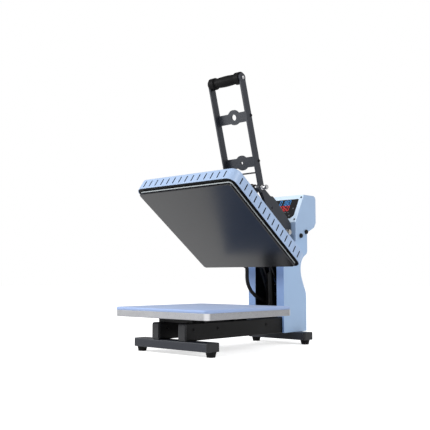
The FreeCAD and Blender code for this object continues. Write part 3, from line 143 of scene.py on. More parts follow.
# The base frame: rectangular steel tube, cut, welded and powder-coated, the cross bars slate and the
# rails black. The coat is satin, with a fine orange-peel texture, and thinner and paler on the edges.
def shade(red, green, blue):
    """A colour given as 0 to 255 on a screen, as the renderer's linear values."""
    levels = []
    for value in (red, green, blue):
        share = value / 255.0
        levels.append(share / 12.92 if share <= 0.04045 else ((share + 0.055) / 1.055) ** 2.4)
    return (*levels, 1.0)


def new_effect(name, takes, gives):
    """An empty node group with named inputs (name, kind, value) and outputs (name, kind)."""
    group = bpy.data.node_groups.new(name, "ShaderNodeTree")
    for label, kind, value in takes:
        group.interface.new_socket(name=label, in_out="INPUT", socket_type=kind).default_value = value
    for label, kind in gives:
        group.interface.new_socket(name=label, in_out="OUTPUT", socket_type=kind)
    return group, group.nodes.new("NodeGroupInput"), group.nodes.new("NodeGroupOutput")


def add_math(group, operation, first, second, clamp=False):
    node = group.nodes.new("ShaderNodeMath")
    node.operation = operation
    node.use_clamp = clamp
    for socket, value in zip(node.inputs, (first, second)):
        if isinstance(value, (int, float)):
            socket.default_value = value
        elif value is not None:
            group.links.new(value, socket)
    return node.outputs[0]


def add_noise(group, vector, scale, detail):
    node = group.nodes.new("ShaderNodeTexNoise")
    node.inputs["Detail"].default_value = detail
    group.links.new(vector, node.inputs["Vector"])
    if isinstance(scale, (int, float)):
        node.inputs["Scale"].default_value = scale
    else:
        group.links.new(scale, node.inputs["Scale"])
    return node.outputs["Fac"]


def add_mix(group, share, first, second):
    node = group.nodes.new("ShaderNodeMix")
    node.data_type = "RGBA"
    sockets = node.inputs["Factor"], node.inputs["A"], node.inputs["B"]
    for socket, value in zip(sockets, (share, first, second)):
        if isinstance(value, (int, float, tuple)):
            socket.default_value = value
        else:
            group.links.new(value, socket)
    return node.outputs["Result"]


NUMBER, TINT, ARROW = "NodeSocketFloat", "NodeSocketColor", "NodeSocketVector"

worn_edge, takes, gives = new_effect("worn_edge", [("Radius", NUMBER, 0.0012), ("Reach", NUMBER, 5.0)],
                                     [("Edge", NUMBER), ("Normal", ARROW)])
rounded = worn_edge.nodes.new("ShaderNodeBevel")
rounded.samples = 4
worn_edge.links.new(takes.outputs["Radius"], rounded.inputs["Radius"])
surface = worn_edge.nodes.new("ShaderNodeNewGeometry")
facing = worn_edge.nodes.new("ShaderNodeVectorMath")
facing.operation = "DOT_PRODUCT"
worn_edge.links.new(rounded.outputs["Normal"], facing.inputs[0])
worn_edge.links.new(surface.outputs["Normal"], facing.inputs[1])
turned_away = add_math(worn_edge, "SUBTRACT", 1.0, facing.outputs["Value"])
edge_share = add_math(worn_edge, "MULTIPLY", turned_away, takes.outputs["Reach"], True)
worn_edge.links.new(edge_share, gives.inputs["Edge"])
worn_edge.links.new(rounded.outputs["Normal"], gives.inputs["Normal"])

fine_coat, takes, gives = new_effect(
    "fine_coat",
    [("Colour", TINT, shade(128, 128, 128)), ("Edge Colour", TINT, shade(160, 160, 160)),
     ("Edge", NUMBER, 0.0), ("Mottle", NUMBER, 0.06), ("Patch Scale", NUMBER, 14.0),
     ("Grain Scale", NUMBER, 900.0), ("Roughness", NUMBER, 0.42), ("Uneven", NUMBER, 0.08)],
    [("Colour", TINT), ("Roughness", NUMBER), ("Height", NUMBER)])
where = fine_coat.nodes.new("ShaderNodeTexCoord").outputs["Object"]
patches = add_noise(fine_coat, where, takes.outputs["Patch Scale"], 4.0)
grain = add_noise(fine_coat, where, takes.outputs["Grain Scale"], 2.0)
patch_swing = add_math(fine_coat, "MULTIPLY", add_math(fine_coat, "SUBTRACT", patches, 0.5),
                       takes.outputs["Mottle"])
grain_swing = add_math(fine_coat, "MULTIPLY", add_math(fine_coat, "SUBTRACT", grain, 0.5), 0.06)
level = add_math(fine_coat, "ADD", add_math(fine_coat, "ADD", patch_swing, grain_swing), 1.0)
toned = fine_coat.nodes.new("ShaderNodeHueSaturation")
fine_coat.links.new(level, toned.inputs["Value"])
fine_coat.links.new(takes.outputs["Colour"], toned.inputs["Color"])
worn_tone = add_mix(fine_coat, takes.outputs["Edge"], toned.outputs["Color"], takes.outputs["Edge Colour"])
fine_coat.links.new(worn_tone, gives.inputs["Colour"])
uneven = add_math(fine_coat, "MULTIPLY", add_math(fine_coat, "SUBTRACT", patches, 0.5),
                  takes.outputs["Uneven"])
fine_coat.links.new(add_math(fine_coat, "ADD", takes.outputs["Roughness"], uneven, True),
                    gives.inputs["Roughness"])
fine_coat.links.new(grain, gives.inputs["Height"])


def place_effect(material, group, **values):
    node = material.node_tree.nodes.new("ShaderNodeGroup")
    node.node_tree = group
    for label, value in values.items():
        node.inputs[label.replace("_", " ")].default_value = value
    return node


def new_finish(name, metallic=0.0):
    """A material with its Principled shader, ready for its colour, roughness and normal."""
    material = bpy.data.materials.new(name)
    material.use_nodes = True
    shader = material.node_tree.nodes["Principled BSDF"]
    shader.inputs["Metallic"].default_value = metallic
    return material, shader


def add_bump(material, height, normal, strength, depth):
    bump = material.node_tree.nodes.new("ShaderNodeBump")
    bump.inputs["Strength"].default_value = strength
    bump.inputs["Distance"].default_value = depth
    material.node_tree.links.new(height, bump.inputs["Height"])
    if normal is not None:
        material.node_tree.links.new(normal, bump.inputs["Normal"])
    return bump.outputs["Normal"]


def coated(name, colour, edge_colour, roughness, radius=0.0012, bump=0.12, grain=900.0, shine=0.5):
    """A powder-coated, painted or moulded finish with softened, slightly worn edges."""
    material, shader = new_finish(name)
    links = material.node_tree.links
    edge = place_effect(material, worn_edge, Radius=radius)
    coat_face = place_effect(material, fine_coat, Colour=colour, Edge_Colour=edge_colour, Roughness=roughness,
                             Grain_Scale=grain)
    links.new(edge.outputs["Edge"], coat_face.inputs["Edge"])
    links.new(coat_face.outputs["Colour"], shader.inputs["Base Color"])
    links.new(coat_face.outputs["Roughness"], shader.inputs["Roughness"])
    links.new(add_bump(material, coat_face.outputs["Height"], edge.outputs["Normal"], bump, 0.0004),
              shader.inputs["Normal"])
    shader.inputs["Specular IOR Level"].default_value = shine
    return material


def dress(material, *names):
    for name in names:
        mesh = nodes[name].data
        mesh.materials.clear()
        mesh.materials.append(material)


slate_coat = coated("slate_powder_coat", shade(36, 39, 47), shade(90, 94, 104),
                    roughness=0.44, shine=0.28)
black_coat = coated("black_powder_coat", shade(13, 13, 14), shade(40, 41, 44),
                    roughness=0.46, shine=0.16)
dress(slate_coat, "front_crossbar", "rear_crossbar")
dress(black_coat, "rail_left", "rail_right", "platen_saddles", "column_floor", "pivot_pedestals")

# Tube plugs and feet: the plugs are pushed-in polyethylene with a faint moulded grain, the feet
# are tapered black rubber, duller and softer at the edges.
plug_plastic = coated("moulded_black_plastic", shade(30, 31, 34), shade(78, 80, 84),
                      roughness=0.48, radius=0.0014, bump=0.25, grain=1500.0, shine=0.3)
foot_rubber = coated("black_foot_rubber", shade(14, 14, 15), shade(40, 40, 41),
                     roughness=0.72, radius=0.0016, bump=0.35, grain=1900.0, shine=0.15)
dress(plug_plastic, "tube_end_plugs")
dress(foot_rubber, "rubber_feet")

# Fasteners and shafts: turned or cold-headed steel. The frame's screws are coated with it; the shafts
# inside the column are given darker steel as painted shade; what shows on the handle is ground or plated.
turned_metal, takes, gives = new_effect(
    "turned_metal",
    [("Colour", TINT, shade(180, 180, 182)), ("Dull Colour", TINT, shade(120, 120, 122)),
     ("Line Scale", NUMBER, 900.0), ("Roughness", NUMBER, 0.28)],
    [("Colour", TINT), ("Roughness", NUMBER), ("Height", NUMBER)])
where = turned_metal.nodes.new("ShaderNodeTexCoord").outputs["Object"]
stretch = turned_metal.nodes.new("ShaderNodeMapping")
stretch.inputs["Scale"].default_value = (1.0, 0.03, 0.03)
turned_metal.links.new(where, stretch.inputs["Vector"])
rings = add_noise(turned_metal, stretch.outputs["Vector"], takes.outputs["Line Scale"], 3.0)
stains = add_noise(turned_metal, where, 40.0, 4.0)
stain_share = add_math(turned_metal, "MULTIPLY", add_math(turned_metal, "SUBTRACT", stains, 0.35, True), 0.9)
stained = add_mix(turned_metal, stain_share, takes.outputs["Colour"], takes.outputs["Dull Colour"])
turned_metal.links.new(stained, gives.inputs["Colour"])
ring_swing = add_math(turned_metal, "MULTIPLY", add_math(turned_metal, "SUBTRACT", rings, 0.5), 0.22)
turned_metal.links.new(add_math(turned_metal, "ADD", takes.outputs["Roughness"], ring_swing, True),
                       gives.inputs["Roughness"])
turned_metal.links.new(rings, gives.inputs["Height"])


def machined(name, colour, dull, roughness):
    """Turned or ground metal, with fine rings and dull patches."""
    material, shader = new_finish(name, 1.0)
    links = material.node_tree.links
    face = place_effect(material, turned_metal, Colour=colour, Dull_Colour=dull, Roughness=roughness)
    edge = place_effect(material, worn_edge, Radius=0.0005)
    links.new(face.outputs["Colour"], shader.inputs["Base Color"])
    links.new(face.outputs["Roughness"], shader.inputs["Roughness"])
    links.new(add_bump(material, face.outputs["Height"], edge.outputs["Normal"], 0.08, 0.0001),
              shader.inputs["Normal"])
    return material


bright_steel = machined("ground_steel", shade(196, 197, 200), shade(138, 139, 142), 0.26)
plated_steel = machined("polished_plating", shade(226, 226, 228), shade(190, 188, 184), 0.14)
black_steel = machined("blackened_steel", shade(46, 46, 49), shade(26, 26, 28), 0.38)
dress(black_steel, "bezel_screws")
dress(black_coat, "frame_screws")
# Painted shade: the shafts inside the column get darker steel than those outside it.
dress(black_steel, "link_shaft", "strut_lower_pin")
dress(machined("painted_shade_steel", shade(104, 112, 130), shade(70, 76, 90), 0.34), "main_pivot_shaft")

# The lower platen: a milled aluminium plate with satin sides that show the saw and mill marks as
# short streaks, and a painted highlight on its rounded corners.
platen_metal, shader = new_finish("milled_aluminium", 1.0)
tree = platen_metal.node_tree
coords = tree.nodes.new("ShaderNodeTexCoord").outputs["Object"]
streak_map = tree.nodes.new("ShaderNodeMapping")
streak_map.inputs["Scale"].default_value = (1.0, 1.0, 6.0)
tree.links.new(coords, streak_map.inputs["Vector"])
streaks = add_noise(tree, streak_map.outputs["Vector"], 260.0, 5.0)
clouds = add_noise(tree, coords, 30.0, 4.0)
mill_tone = add_mix(tree, streaks, shade(176, 177, 180), shade(98, 99, 103))
flat_tone = add_mix(tree, add_math(tree, "MULTIPLY", clouds, 0.3), mill_tone, shade(184, 184, 187))
rest_normal, takes, gives = new_effect("rest_normal", [], [("Normal", ARROW)])
surface = rest_normal.nodes.new("ShaderNodeNewGeometry")
to_part = rest_normal.nodes.new("ShaderNodeVectorTransform")
to_part.vector_type = "NORMAL"
to_part.convert_from = "WORLD"
to_part.convert_to = "OBJECT"
rest_normal.links.new(surface.outputs["True Normal"], to_part.inputs["Vector"])
rest_normal.links.new(to_part.outputs["Vector"], gives.inputs["Normal"])
side_parts = tree.nodes.new("ShaderNodeSeparateXYZ")
tree.links.new(place_effect(platen_metal, rest_normal).outputs["Normal"], side_parts.inputs["Vector"])
both_ways = add_math(tree, "MULTIPLY", side_parts.outputs["X"], side_parts.outputs["Y"])
corner_painted_highlight = add_math(tree, "MULTIPLY", add_math(tree, "ABSOLUTE", both_ways, None), 1.8, True)
# Painted highlight: the rounded corners, whose normals lean both ways, are mixed paler.
tree.links.new(add_mix(tree, corner_painted_highlight, flat_tone, shade(226, 226, 229)), shader.inputs["Base Color"])
tree.links.new(add_math(tree, "ADD", add_math(tree, "MULTIPLY", streaks, 0.3), 0.28),
               shader.inputs["Roughness"])
edge = place_effect(platen_metal, worn_edge, Radius=0.0012)
tree.links.new(add_bump(platen_metal, streaks, edge.outputs["Normal"], 0.25, 0.0003), shader.inputs["Normal"])
dress(platen_metal, "lower_platen")

# The pad: a sheet of silicone foam, pale blue, glued flat to the platen. Its skin is smooth with a
# faint pebble, its cut edge is softly rounded, and it swells a hair between its edges.
pad_low, pad_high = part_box("silicone_pad")
pad_middle = (pad_low + pad_high) / 2
pad_half = (pad_high - pad_low) / 2
pad_corner = 0.014
pad_roll = 0.0016
pad_crown = 0.0003             # how much higher its middle is than its rim
pad_clear = 0.0001             # below the top that the part gives it


def rounded_ring(half_x, half_y, corner, z, steps=10):
    ring = []
    for turn, side_x, side_y in ((0, 1, 1), (1, -1, 1), (2, -1, -1), (3, 1, -1)):
        for step in range(steps + 1):
            angle = math.radians(90.0 * turn + 90.0 * step / steps)
            ring.append(Vector((side_x * (half_x - corner) + corner * math.cos(angle),
                                side_y * (half_y - corner) + corner * math.sin(angle), z)))
    return ring


pad_mesh = bpy.data.meshes.new("foam_pad")
shaper = bmesh.new()
pad_rings = []
for step in range(5):
    lift = math.radians(90.0 * step / 4)
    inset = pad_roll * (1 - math.cos(lift))
    height = pad_half.z - pad_roll + pad_roll * math.sin(lift)
    pad_rings.append(rounded_ring(pad_half.x - inset, pad_half.y - inset, pad_corner - inset,
                                  height - pad_crown - pad_clear))
for inset, fall in ((0.012, 0.0002), (0.05, 0.0), (0.11, 0.0)):
    pad_rings.append(rounded_ring(pad_half.x - inset, pad_half.y - inset, pad_corner * 0.7,
                                  pad_half.z - fall - pad_clear))
pad_rings.insert(0, rounded_ring(pad_half.x, pad_half.y, pad_corner, -pad_half.z))
levels = [[shaper.verts.new(point + pad_middle) for point in ring] for ring in pad_rings]
for lower, upper in zip(levels[:-1], levels[1:]):
    for i in range(len(lower)):
        j = (i + 1) % len(lower)
        shaper.faces.new((lower[i], lower[j], upper[j], upper[i]))
shaper.faces.new(list(reversed(levels[0])))
shaper.faces.new(levels[-1])
shaper.to_mesh(pad_mesh)
shaper.free()
for face in pad_mesh.polygons:
    face.use_smooth = True
pad = bpy.data.objects.new("foam_pad", pad_mesh)
scene.collection.objects.link(pad)
foam, shader = new_finish("blue_silicone_foam")
tree = foam.node_tree
coords = tree.nodes.new("ShaderNodeTexCoord").outputs["Object"]
foam_face = place_effect(foam, fine_coat, Colour=shade(143, 165, 206), Mottle=0.05, Patch_Scale=6.0,
                         Grain_Scale=700.0, Roughness=0.55, Uneven=0.15)
tree.links.new(foam_face.outputs["Colour"], shader.inputs["Base Color"])
tree.links.new(foam_face.outputs["Roughness"], shader.inputs["Roughness"])
tree.links.new(add_bump(foam, foam_face.outputs["Height"], None, 0.2, 0.0003), shader.inputs["Normal"])
shader.inputs["Sheen Weight"].default_value = 0.15
pad_mesh.materials.append(foam)
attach(pad, "base")
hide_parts("silicone_pad")

# The column and the box's shell: folded steel sheet in a pale blue powder coat, smooth and a little
# glossy, with a thin paler line along every fold and cut. The flanges that face forward get painted
# shade, darker and bluer, and the column's inside is painted with shade.
inner_faces, takes, gives = new_effect(
    "inner_faces",
    [("Middle", ARROW, (0.0, 0.0, 0.0)), ("Across", ARROW, (1.0, 1.0, 0.0)), ("Front", NUMBER, -1.0)],
    [("Inside", NUMBER)])
where = inner_faces.nodes.new("ShaderNodeTexCoord").outputs["Object"]
away = inner_faces.nodes.new("ShaderNodeVectorMath")
away.operation = "SUBTRACT"
inner_faces.links.new(where, away.inputs[0])
inner_faces.links.new(takes.outputs["Middle"], away.inputs[1])
spread = inner_faces.nodes.new("ShaderNodeVectorMath")
spread.operation = "MULTIPLY"
inner_faces.links.new(away.outputs["Vector"], spread.inputs[0])
inner_faces.links.new(takes.outputs["Across"], spread.inputs[1])
normal_node = inner_faces.nodes.new("ShaderNodeGroup")
normal_node.node_tree = rest_normal
towards = inner_faces.nodes.new("ShaderNodeVectorMath")
towards.operation = "DOT_PRODUCT"
inner_faces.links.new(spread.outputs["Vector"], towards.inputs[0])
inner_faces.links.new(normal_node.outputs["Normal"], towards.inputs[1])
split = inner_faces.nodes.new("ShaderNodeSeparateXYZ")
inner_faces.links.new(where, split.inputs["Vector"])
behind_front = add_math(inner_faces, "GREATER_THAN", split.outputs["Y"], takes.outputs["Front"])
looks_in = add_math(inner_faces, "LESS_THAN", towards.outputs["Value"], 0.0)
inner_faces.links.new(add_math(inner_faces, "MULTIPLY", looks_in, behind_front), gives.inputs["Inside"])


def paint_shade_inside(material, **values):
    tree = material.node_tree
    base = tree.nodes["Principled BSDF"].inputs["Base Color"]
    mask = place_effect(material, inner_faces, **values)
    # Painted shade: faces that look into the part are mixed to near black.
    tree.links.new(add_mix(tree, mask.outputs["Inside"], base.links[0].from_socket, shade(12, 12, 14)), base)


blue_coat = coated("pale_blue_powder_coat", shade(152, 176, 206), shade(196, 212, 232),
                   roughness=0.36, radius=0.0012, bump=0.07, grain=1100.0)
dress(blue_coat, "control_box")
column_coat = coated("column_powder_coat", shade(152, 179, 212), shade(196, 212, 232),
                     roughness=0.36, radius=0.0012, bump=0.07, grain=1100.0)
column_middle = (0.0, 0.217, 0.0)
column_front = 0.157           # the flanges in front of this get no painted shade
paint_shade_inside(column_coat, Middle=column_middle, Front=column_front)
tree = column_coat.node_tree
forward = place_effect(column_coat, rest_normal).outputs["Normal"]
forward_parts = tree.nodes.new("ShaderNodeSeparateXYZ")
tree.links.new(forward, forward_parts.inputs["Vector"])
front_faces_painted_shade = add_math(tree, "LESS_THAN", forward_parts.outputs["Y"], -0.8)
base = tree.nodes["Principled BSDF"].inputs["Base Color"]
# Painted shade: forward faces, the flanges, go darker and bluer for the platen's shade and pad's bounce.
tree.links.new(add_mix(tree, add_math(tree, "MULTIPLY", front_faces_painted_shade, 0.8), base.links[0].from_socket,
                       shade(118, 150, 204)), base)
dress(column_coat, "column_side_left", "column_side_right", "column_rear_cover")

# The control panel: a pale moulded bezel held by four small screws over the box's sloping face,
# with a smoked window let into it and a circuit board behind.
bezel_plastic = coated("pale_bezel_plastic", shade(206, 226, 246), shade(232, 242, 252),
                       roughness=0.32, radius=0.0010, bump=0.05, grain=1600.0)
dress(bezel_plastic, "display_bezel")
window_glass, shader = new_finish("smoked_window")
tree = window_glass.node_tree
coords = tree.nodes.new("ShaderNodeTexCoord").outputs["Object"]
smears = add_noise(tree, coords, 60.0, 3.0)
tree.links.new(add_mix(tree, smears, shade(5, 6, 8), shade(12, 13, 17)), shader.inputs["Base Color"])
tree.links.new(add_math(tree, "ADD", add_math(tree, "MULTIPLY", smears, 0.08), 0.06),
               shader.inputs["Roughness"])
shader.inputs["Coat Weight"].default_value = 0.15
shader.inputs["Specular IOR Level"].default_value = 0.25
dress(window_glass, "display_window")
board_green = coated("solder_mask", shade(28, 92, 58), shade(60, 130, 90),
                     roughness=0.35, radius=0.0004, bump=0.2, grain=2400.0)
dress(board_green, "circuit_board")

# The readout: two rows of seven-segment numerals glow through the window, blue over red, with the
# touch marks below and beside them. Each numeral is built from its own segments.
window_low, window_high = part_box("display_window")
outward = Vector((0.0, 0.0, 0.0))
for face in nodes["display_window"].data.polygons:
    if face.normal.y < -0.6 and face.normal.z > 0.2:
        outward += face.normal * face.area
outward.normalize()
sideways = Vector((1.0, 0.0, 0.0))
upward = outward.cross(sideways).normalized()
if upward.z < 0:
    upward = -upward
window_centre = (window_low + window_high) / 2
window_front = max((Vector(v.co) - window_centre).dot(outward) for v in nodes["display_window"].data.vertices)
panel_rise = 0.00015
segments_lit = {"0": "abcdef", "1": "bc", "6": "afgedc", "8": "abcdefg"}


def panel_point(x, h):
    return window_centre + sideways * x + upward * h + outward * (window_front + panel_rise)


def add_flat(shaper, corners):
    shaper.faces.new([shaper.verts.new(panel_point(x, h)) for x, h in corners])


def add_segment(shaper, x0, h0, x1, h1, width):
    along = Vector((x1 - x0, h1 - h0)).normalized()
    across = Vector((-along.y, along.x)) * width / 2
    tip = along * width / 2
    start, end = Vector((x0, h0)) + tip * 0.25, Vector((x1, h1)) - tip * 0.25
    add_flat(shaper, [start, start + tip + across, end - tip + across,
                      end, end - tip - across, start + tip - across])


def add_numeral(shaper, mark, left, low, wide, tall, width):
    slant = 0.08 * tall
    spots = {"a": (0, 2, 1, 2), "b": (1, 2, 1, 1), "c": (1, 1, 1, 0), "d": (0, 0, 1, 0), "e": (0, 1, 0, 0),
             "f": (0, 2, 0, 1), "g": (0, 1, 1, 1)}
    for letter in segments_lit[mark]:
        a, b, c, d = spots[letter]
        add_segment(shaper, left + a * wide + b * slant / 2, low + b * tall / 2,
                    left + c * wide + d * slant / 2, low + d * tall / 2, width)


def panel_piece(name, shaper, material):
    mesh = bpy.data.meshes.new(name)
    shaper.normal_update()
    for face in shaper.faces:
        if face.normal.dot(outward) < 0:
            face.normal_flip()
    shaper.to_mesh(mesh)
    shaper.free()
    piece = bpy.data.objects.new(name, mesh)
    scene.collection.objects.link(piece)
    mesh.materials.append(material)
    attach(piece, "base")


def glowing(name, colour, strength):
    material, shader = new_finish(name)
    tree = material.node_tree
    coords = tree.nodes.new("ShaderNodeTexCoord").outputs["Object"]
    flicker = add_noise(tree, coords, 500.0, 2.0)
    tint = add_mix(tree, flicker, colour, tuple(min(1.0, c * 1.5) for c in colour[:3]) + (1.0,))
    tree.links.new(add_mix(tree, 0.6, tint, shade(8, 8, 10)), shader.inputs["Base Color"])
    tree.links.new(tint, shader.inputs["Emission Color"])
    shader.inputs["Emission Strength"].default_value = strength
    shader.inputs["Roughness"].default_value = 0.4
    return material


row_tall = 0.0195
row_wide = 0.0078
row_pitch = 0.0125
row_stroke = 0.0022
row_left = -0.0140
top_row = 0.0155
low_row = -0.0068
for name, marks, low, colour in (("temperature_numerals", "0180", top_row, shade(44, 128, 200)),
                                 ("time_numerals", "0060", low_row, shade(206, 26, 36))):
    shaper = bmesh.new()
    for i, mark in enumerate(marks):
        add_numeral(shaper, mark, row_left + i * row_pitch, low, row_wide, row_tall, row_stroke)
    panel_piece(name, shaper, glowing(name + "_glow", colour, 0.6))

size = 0.0042                  # half the width of a touch mark
shaper = bmesh.new()
for x, h, kind in ((0.0509, 0.0009, "up"), (0.0216, -0.0131, "bar"), (0.0347, -0.0140, "dot"),
                   (0.0222, -0.0273, "ring"), (0.0432, -0.0267, "down"), (-0.0216, -0.0140, "bar"),
                   (-0.0340, -0.0270, "ring")):
    if kind == "up":
        add_flat(shaper, [(x - size, h - size / 2), (x + size, h - size / 2), (x, h + size)])
    elif kind == "down":
        add_flat(shaper, [(x - size, h + size / 2), (x, h - size), (x + size, h + size / 2)])
    elif kind == "bar":
        add_flat(shaper, [(x - size, h - size / 4), (x + size, h - size / 4),
                          (x + size, h + size / 4), (x - size, h + size / 4)])
    elif kind == "dot":
        turns = [t * math.pi / 6 for t in range(12)]
        add_flat(shaper, [(x + size / 2 * math.cos(a), h + size / 2 * math.sin(a)) for a in turns])
    else:
        for t in range(16):
            a, b = t * math.pi / 8, (t + 1) * math.pi / 8
            add_flat(shaper, [(x + size * math.cos(a), h + size * math.sin(a)),
                              (x + size * math.cos(b), h + size * math.sin(b)),
                              (x + 0.75 * size * math.cos(b), h + 0.75 * size * math.sin(b)),
                              (x + 0.75 * size * math.cos(a), h + 0.75 * size * math.sin(a))])
panel_piece("touch_marks", shaper, glowing("touch_mark_glow", shade(96, 100, 108), 0.2))

# Black moulded plastic with a fine matt grain: the caps over the box's screws, the mains inlet and
# switch in the rear cover, the gland and the pressure knob. The terminal block is cream.
cap_plastic = coated("black_cap_plastic", shade(10, 10, 11), shade(34, 34, 36),
                     roughness=0.5, radius=0.0012, bump=0.2, grain=1500.0, shine=0.15)
dress(cap_plastic, "box_fixing_screws", "power_inlet", "switch_frame", "power_rocker", "cable_gland",
      "pressure_knob")
cream_plastic = coated("cream_plastic", shade(214, 206, 184), shade(232, 226, 210),
                       roughness=0.5, radius=0.0008, bump=0.2, grain=1500.0)
dress(cream_plastic, "terminal_block")

# The carriage: thick laser-cut steel plates in a fine charcoal powder coat that greys on the edges,
# bolted round the pressure beam, on oiled bronze bushes. The bolts at the column end are plated, and
# those further forward are coloured darker.
charcoal_coat = coated("charcoal_powder_coat", shade(42, 45, 52), shade(88, 91, 98),
                       roughness=0.46, radius=0.0011, bump=0.16, grain=1300.0, shine=0.36)
dress(charcoal_coat, "carriage_arm_left", "carriage_arm_right", "arm_brackets", "pressure_beam",
      "hanger_plate")
bronze = machined("oiled_bronze", shade(92, 76, 56), shade(58, 48, 36), 0.4)
dress(bronze, "pivot_bushes")
bolt_steel = machined("plated_bolts_darker_in_front", shade(214, 212, 208), shade(176, 172, 164), 0.2)
tree = bolt_steel.node_tree
bolt_place = tree.nodes.new("ShaderNodeSeparateXYZ")
tree.links.new(tree.nodes.new("ShaderNodeTexCoord").outputs["Object"], bolt_place.inputs["Vector"])
base = tree.nodes["Principled BSDF"].inputs["Base Color"]
bolt_divide = 0.15             # the bolts in front of this are coloured darker
darker_in_front = add_math(tree, "LESS_THAN", bolt_place.outputs["Y"], bolt_divide)
# The bolts further forward are mixed to a darker tone.
tree.links.new(add_mix(tree, darker_in_front, base.links[0].from_socket, shade(58, 61, 69)), base)
dress(bolt_steel, "carriage_bolts")
dress(plated_steel, "handle_pivot_nuts", "grip_bolt")
dress(bright_steel, "strut_upper_pin", "hanger_posts", "pressure_screw", "handle_pivot_shaft")
dress(black_steel, "toggle_levers", "toggle_pin", "toggle_links", "cross_rod", "strut_rod", "brace_screws")

# The heat plate: cast aluminium, with a dark, slightly blue non-stick coating on its working face and
# its chamfer. A narrow band round its side is left bare.
heat_face, shader = new_finish("non_stick_coating")
tree = heat_face.node_tree
plate_normal = Vector((0.0, 0.0, 0.0))
for face in nodes["heat_plate"].data.polygons:
    if face.normal.z < -0.7 and abs(face.normal.x) < 0.05 and face.area > 0.002:
        plate_normal += face.normal * face.area
plate_normal.normalize()


def measured_along(tree, source, direction):
    """How far a place or a normal reaches along a direction."""
    node = tree.nodes.new("ShaderNodeVectorMath")
    node.operation = "DOT_PRODUCT"
    node.inputs[1].default_value = direction
    tree.links.new(source, node.inputs[0])
    return node.outputs["Value"]


coords = tree.nodes.new("ShaderNodeTexCoord").outputs["Object"]
lean = measured_along(tree, place_effect(heat_face, rest_normal).outputs["Normal"], plate_normal)
face_level = max(Vector(v.co).dot(plate_normal) for v in nodes["heat_plate"].data.vertices)
band_near = 0.0078             # the bare band round the edge, measured back from the face
band_far = 0.0118
depth = add_math(tree, "SUBTRACT", face_level, measured_along(tree, coords, plate_normal))
side_share = add_math(tree, "LESS_THAN", lean, 0.35)
in_band = add_math(tree, "MULTIPLY", add_math(tree, "GREATER_THAN", depth, band_near),
                   add_math(tree, "LESS_THAN", depth, band_far))
bare_share = add_math(tree, "MULTIPLY", in_band, side_share)
speckle = add_noise(tree, coords, 1500.0, 2.0)
smudges = add_noise(tree, coords, 7.0, 5.0)
coat_tone = add_mix(tree, smudges, shade(9, 10, 16), shade(16, 17, 21))
tree.links.new(add_mix(tree, bare_share, coat_tone, shade(196, 203, 205)), shader.inputs["Base Color"])
tree.links.new(add_math(tree, "MULTIPLY", bare_share, 0.2), shader.inputs["Metallic"])
coat_rough = add_math(tree, "ADD", add_math(tree, "MULTIPLY", smudges, 0.1), 0.18)
tree.links.new(add_math(tree, "ADD", coat_rough, add_math(tree, "MULTIPLY", bare_share, 0.05)),
               shader.inputs["Roughness"])
tree.links.new(add_bump(heat_face, speckle, None, 0.05, 0.0002), shader.inputs["Normal"])
shader.inputs["Specular IOR Level"].default_value = 0.48
dress(heat_face, "heat_plate")

# The platen's cover: folded and welded steel sheet in the same pale blue coat, with painted shade
# inside. The slots' cheeks and a hair round each slot are painted black as shade.
cover_low, cover_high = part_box("platen_cover")
cover_coat = coated("cover_powder_coat", shade(152, 174, 206), shade(200, 214, 234),
                    roughness=0.36, radius=0.0006, bump=0.07, grain=1100.0)
cover_middle = (cover_low + cover_high) / 2
paint_shade_inside(cover_coat, Middle=cover_middle, Across=(1.0, 1.0, 1.0))
tree = cover_coat.node_tree
wall_run = plate_normal.cross(Vector((1.0, 0.0, 0.0))).normalized()
wall_straight = 0.170          # the slots stand inside this reach from the cover's middle, both ways
coords = tree.nodes.new("ShaderNodeTexCoord").outputs["Object"]
wall_normal = place_effect(cover_coat, rest_normal).outputs["Normal"]
cheek_shade_shares = []
for along in (Vector((1.0, 0.0, 0.0)), wall_run):
    offset = add_math(tree, "SUBTRACT", measured_along(tree, coords, along), cover_middle.dot(along))
    near = add_math(tree, "LESS_THAN", add_math(tree, "ABSOLUTE", offset, None), wall_straight)
    cheek_lean = add_math(tree, "ABSOLUTE", measured_along(tree, wall_normal, along), None)
    cheek_shade_shares.append(add_math(tree, "MULTIPLY", near, add_math(tree, "GREATER_THAN", cheek_lean, 0.9)))
slot_cheek_shade = add_math(tree, "MAXIMUM", *cheek_shade_shares)
slot_middle = 0.018            # from the cover's lower edge up to the middle of its slots
slot_reach = 0.0138            # half a slot's length and a little more
rim_level = max(Vector(v.co).dot(plate_normal) for v in nodes["platen_cover"].data.vertices)
from_slots = add_math(tree, "ADD", measured_along(tree, coords, plate_normal), slot_middle - rim_level)
slot_band = add_math(tree, "LESS_THAN", add_math(tree, "ABSOLUTE", from_slots, None), slot_reach)
cut_edge = place_effect(cover_coat, worn_edge, Radius=0.0015, Reach=8.0)
on_lip = add_math(tree, "GREATER_THAN", cut_edge.outputs["Edge"], 0.06)
slot_painted_shade = add_math(tree, "MAXIMUM", slot_cheek_shade, add_math(tree, "MULTIPLY", on_lip, slot_band))
base = tree.nodes["Principled BSDF"].inputs["Base Color"]
# Painted shade: the slots' cheeks and a narrow rim round each slot are mixed to near black.
tree.links.new(add_mix(tree, slot_painted_shade, base.links[0].from_socket, shade(10, 10, 12)), base)
dress(cover_coat, "platen_cover")

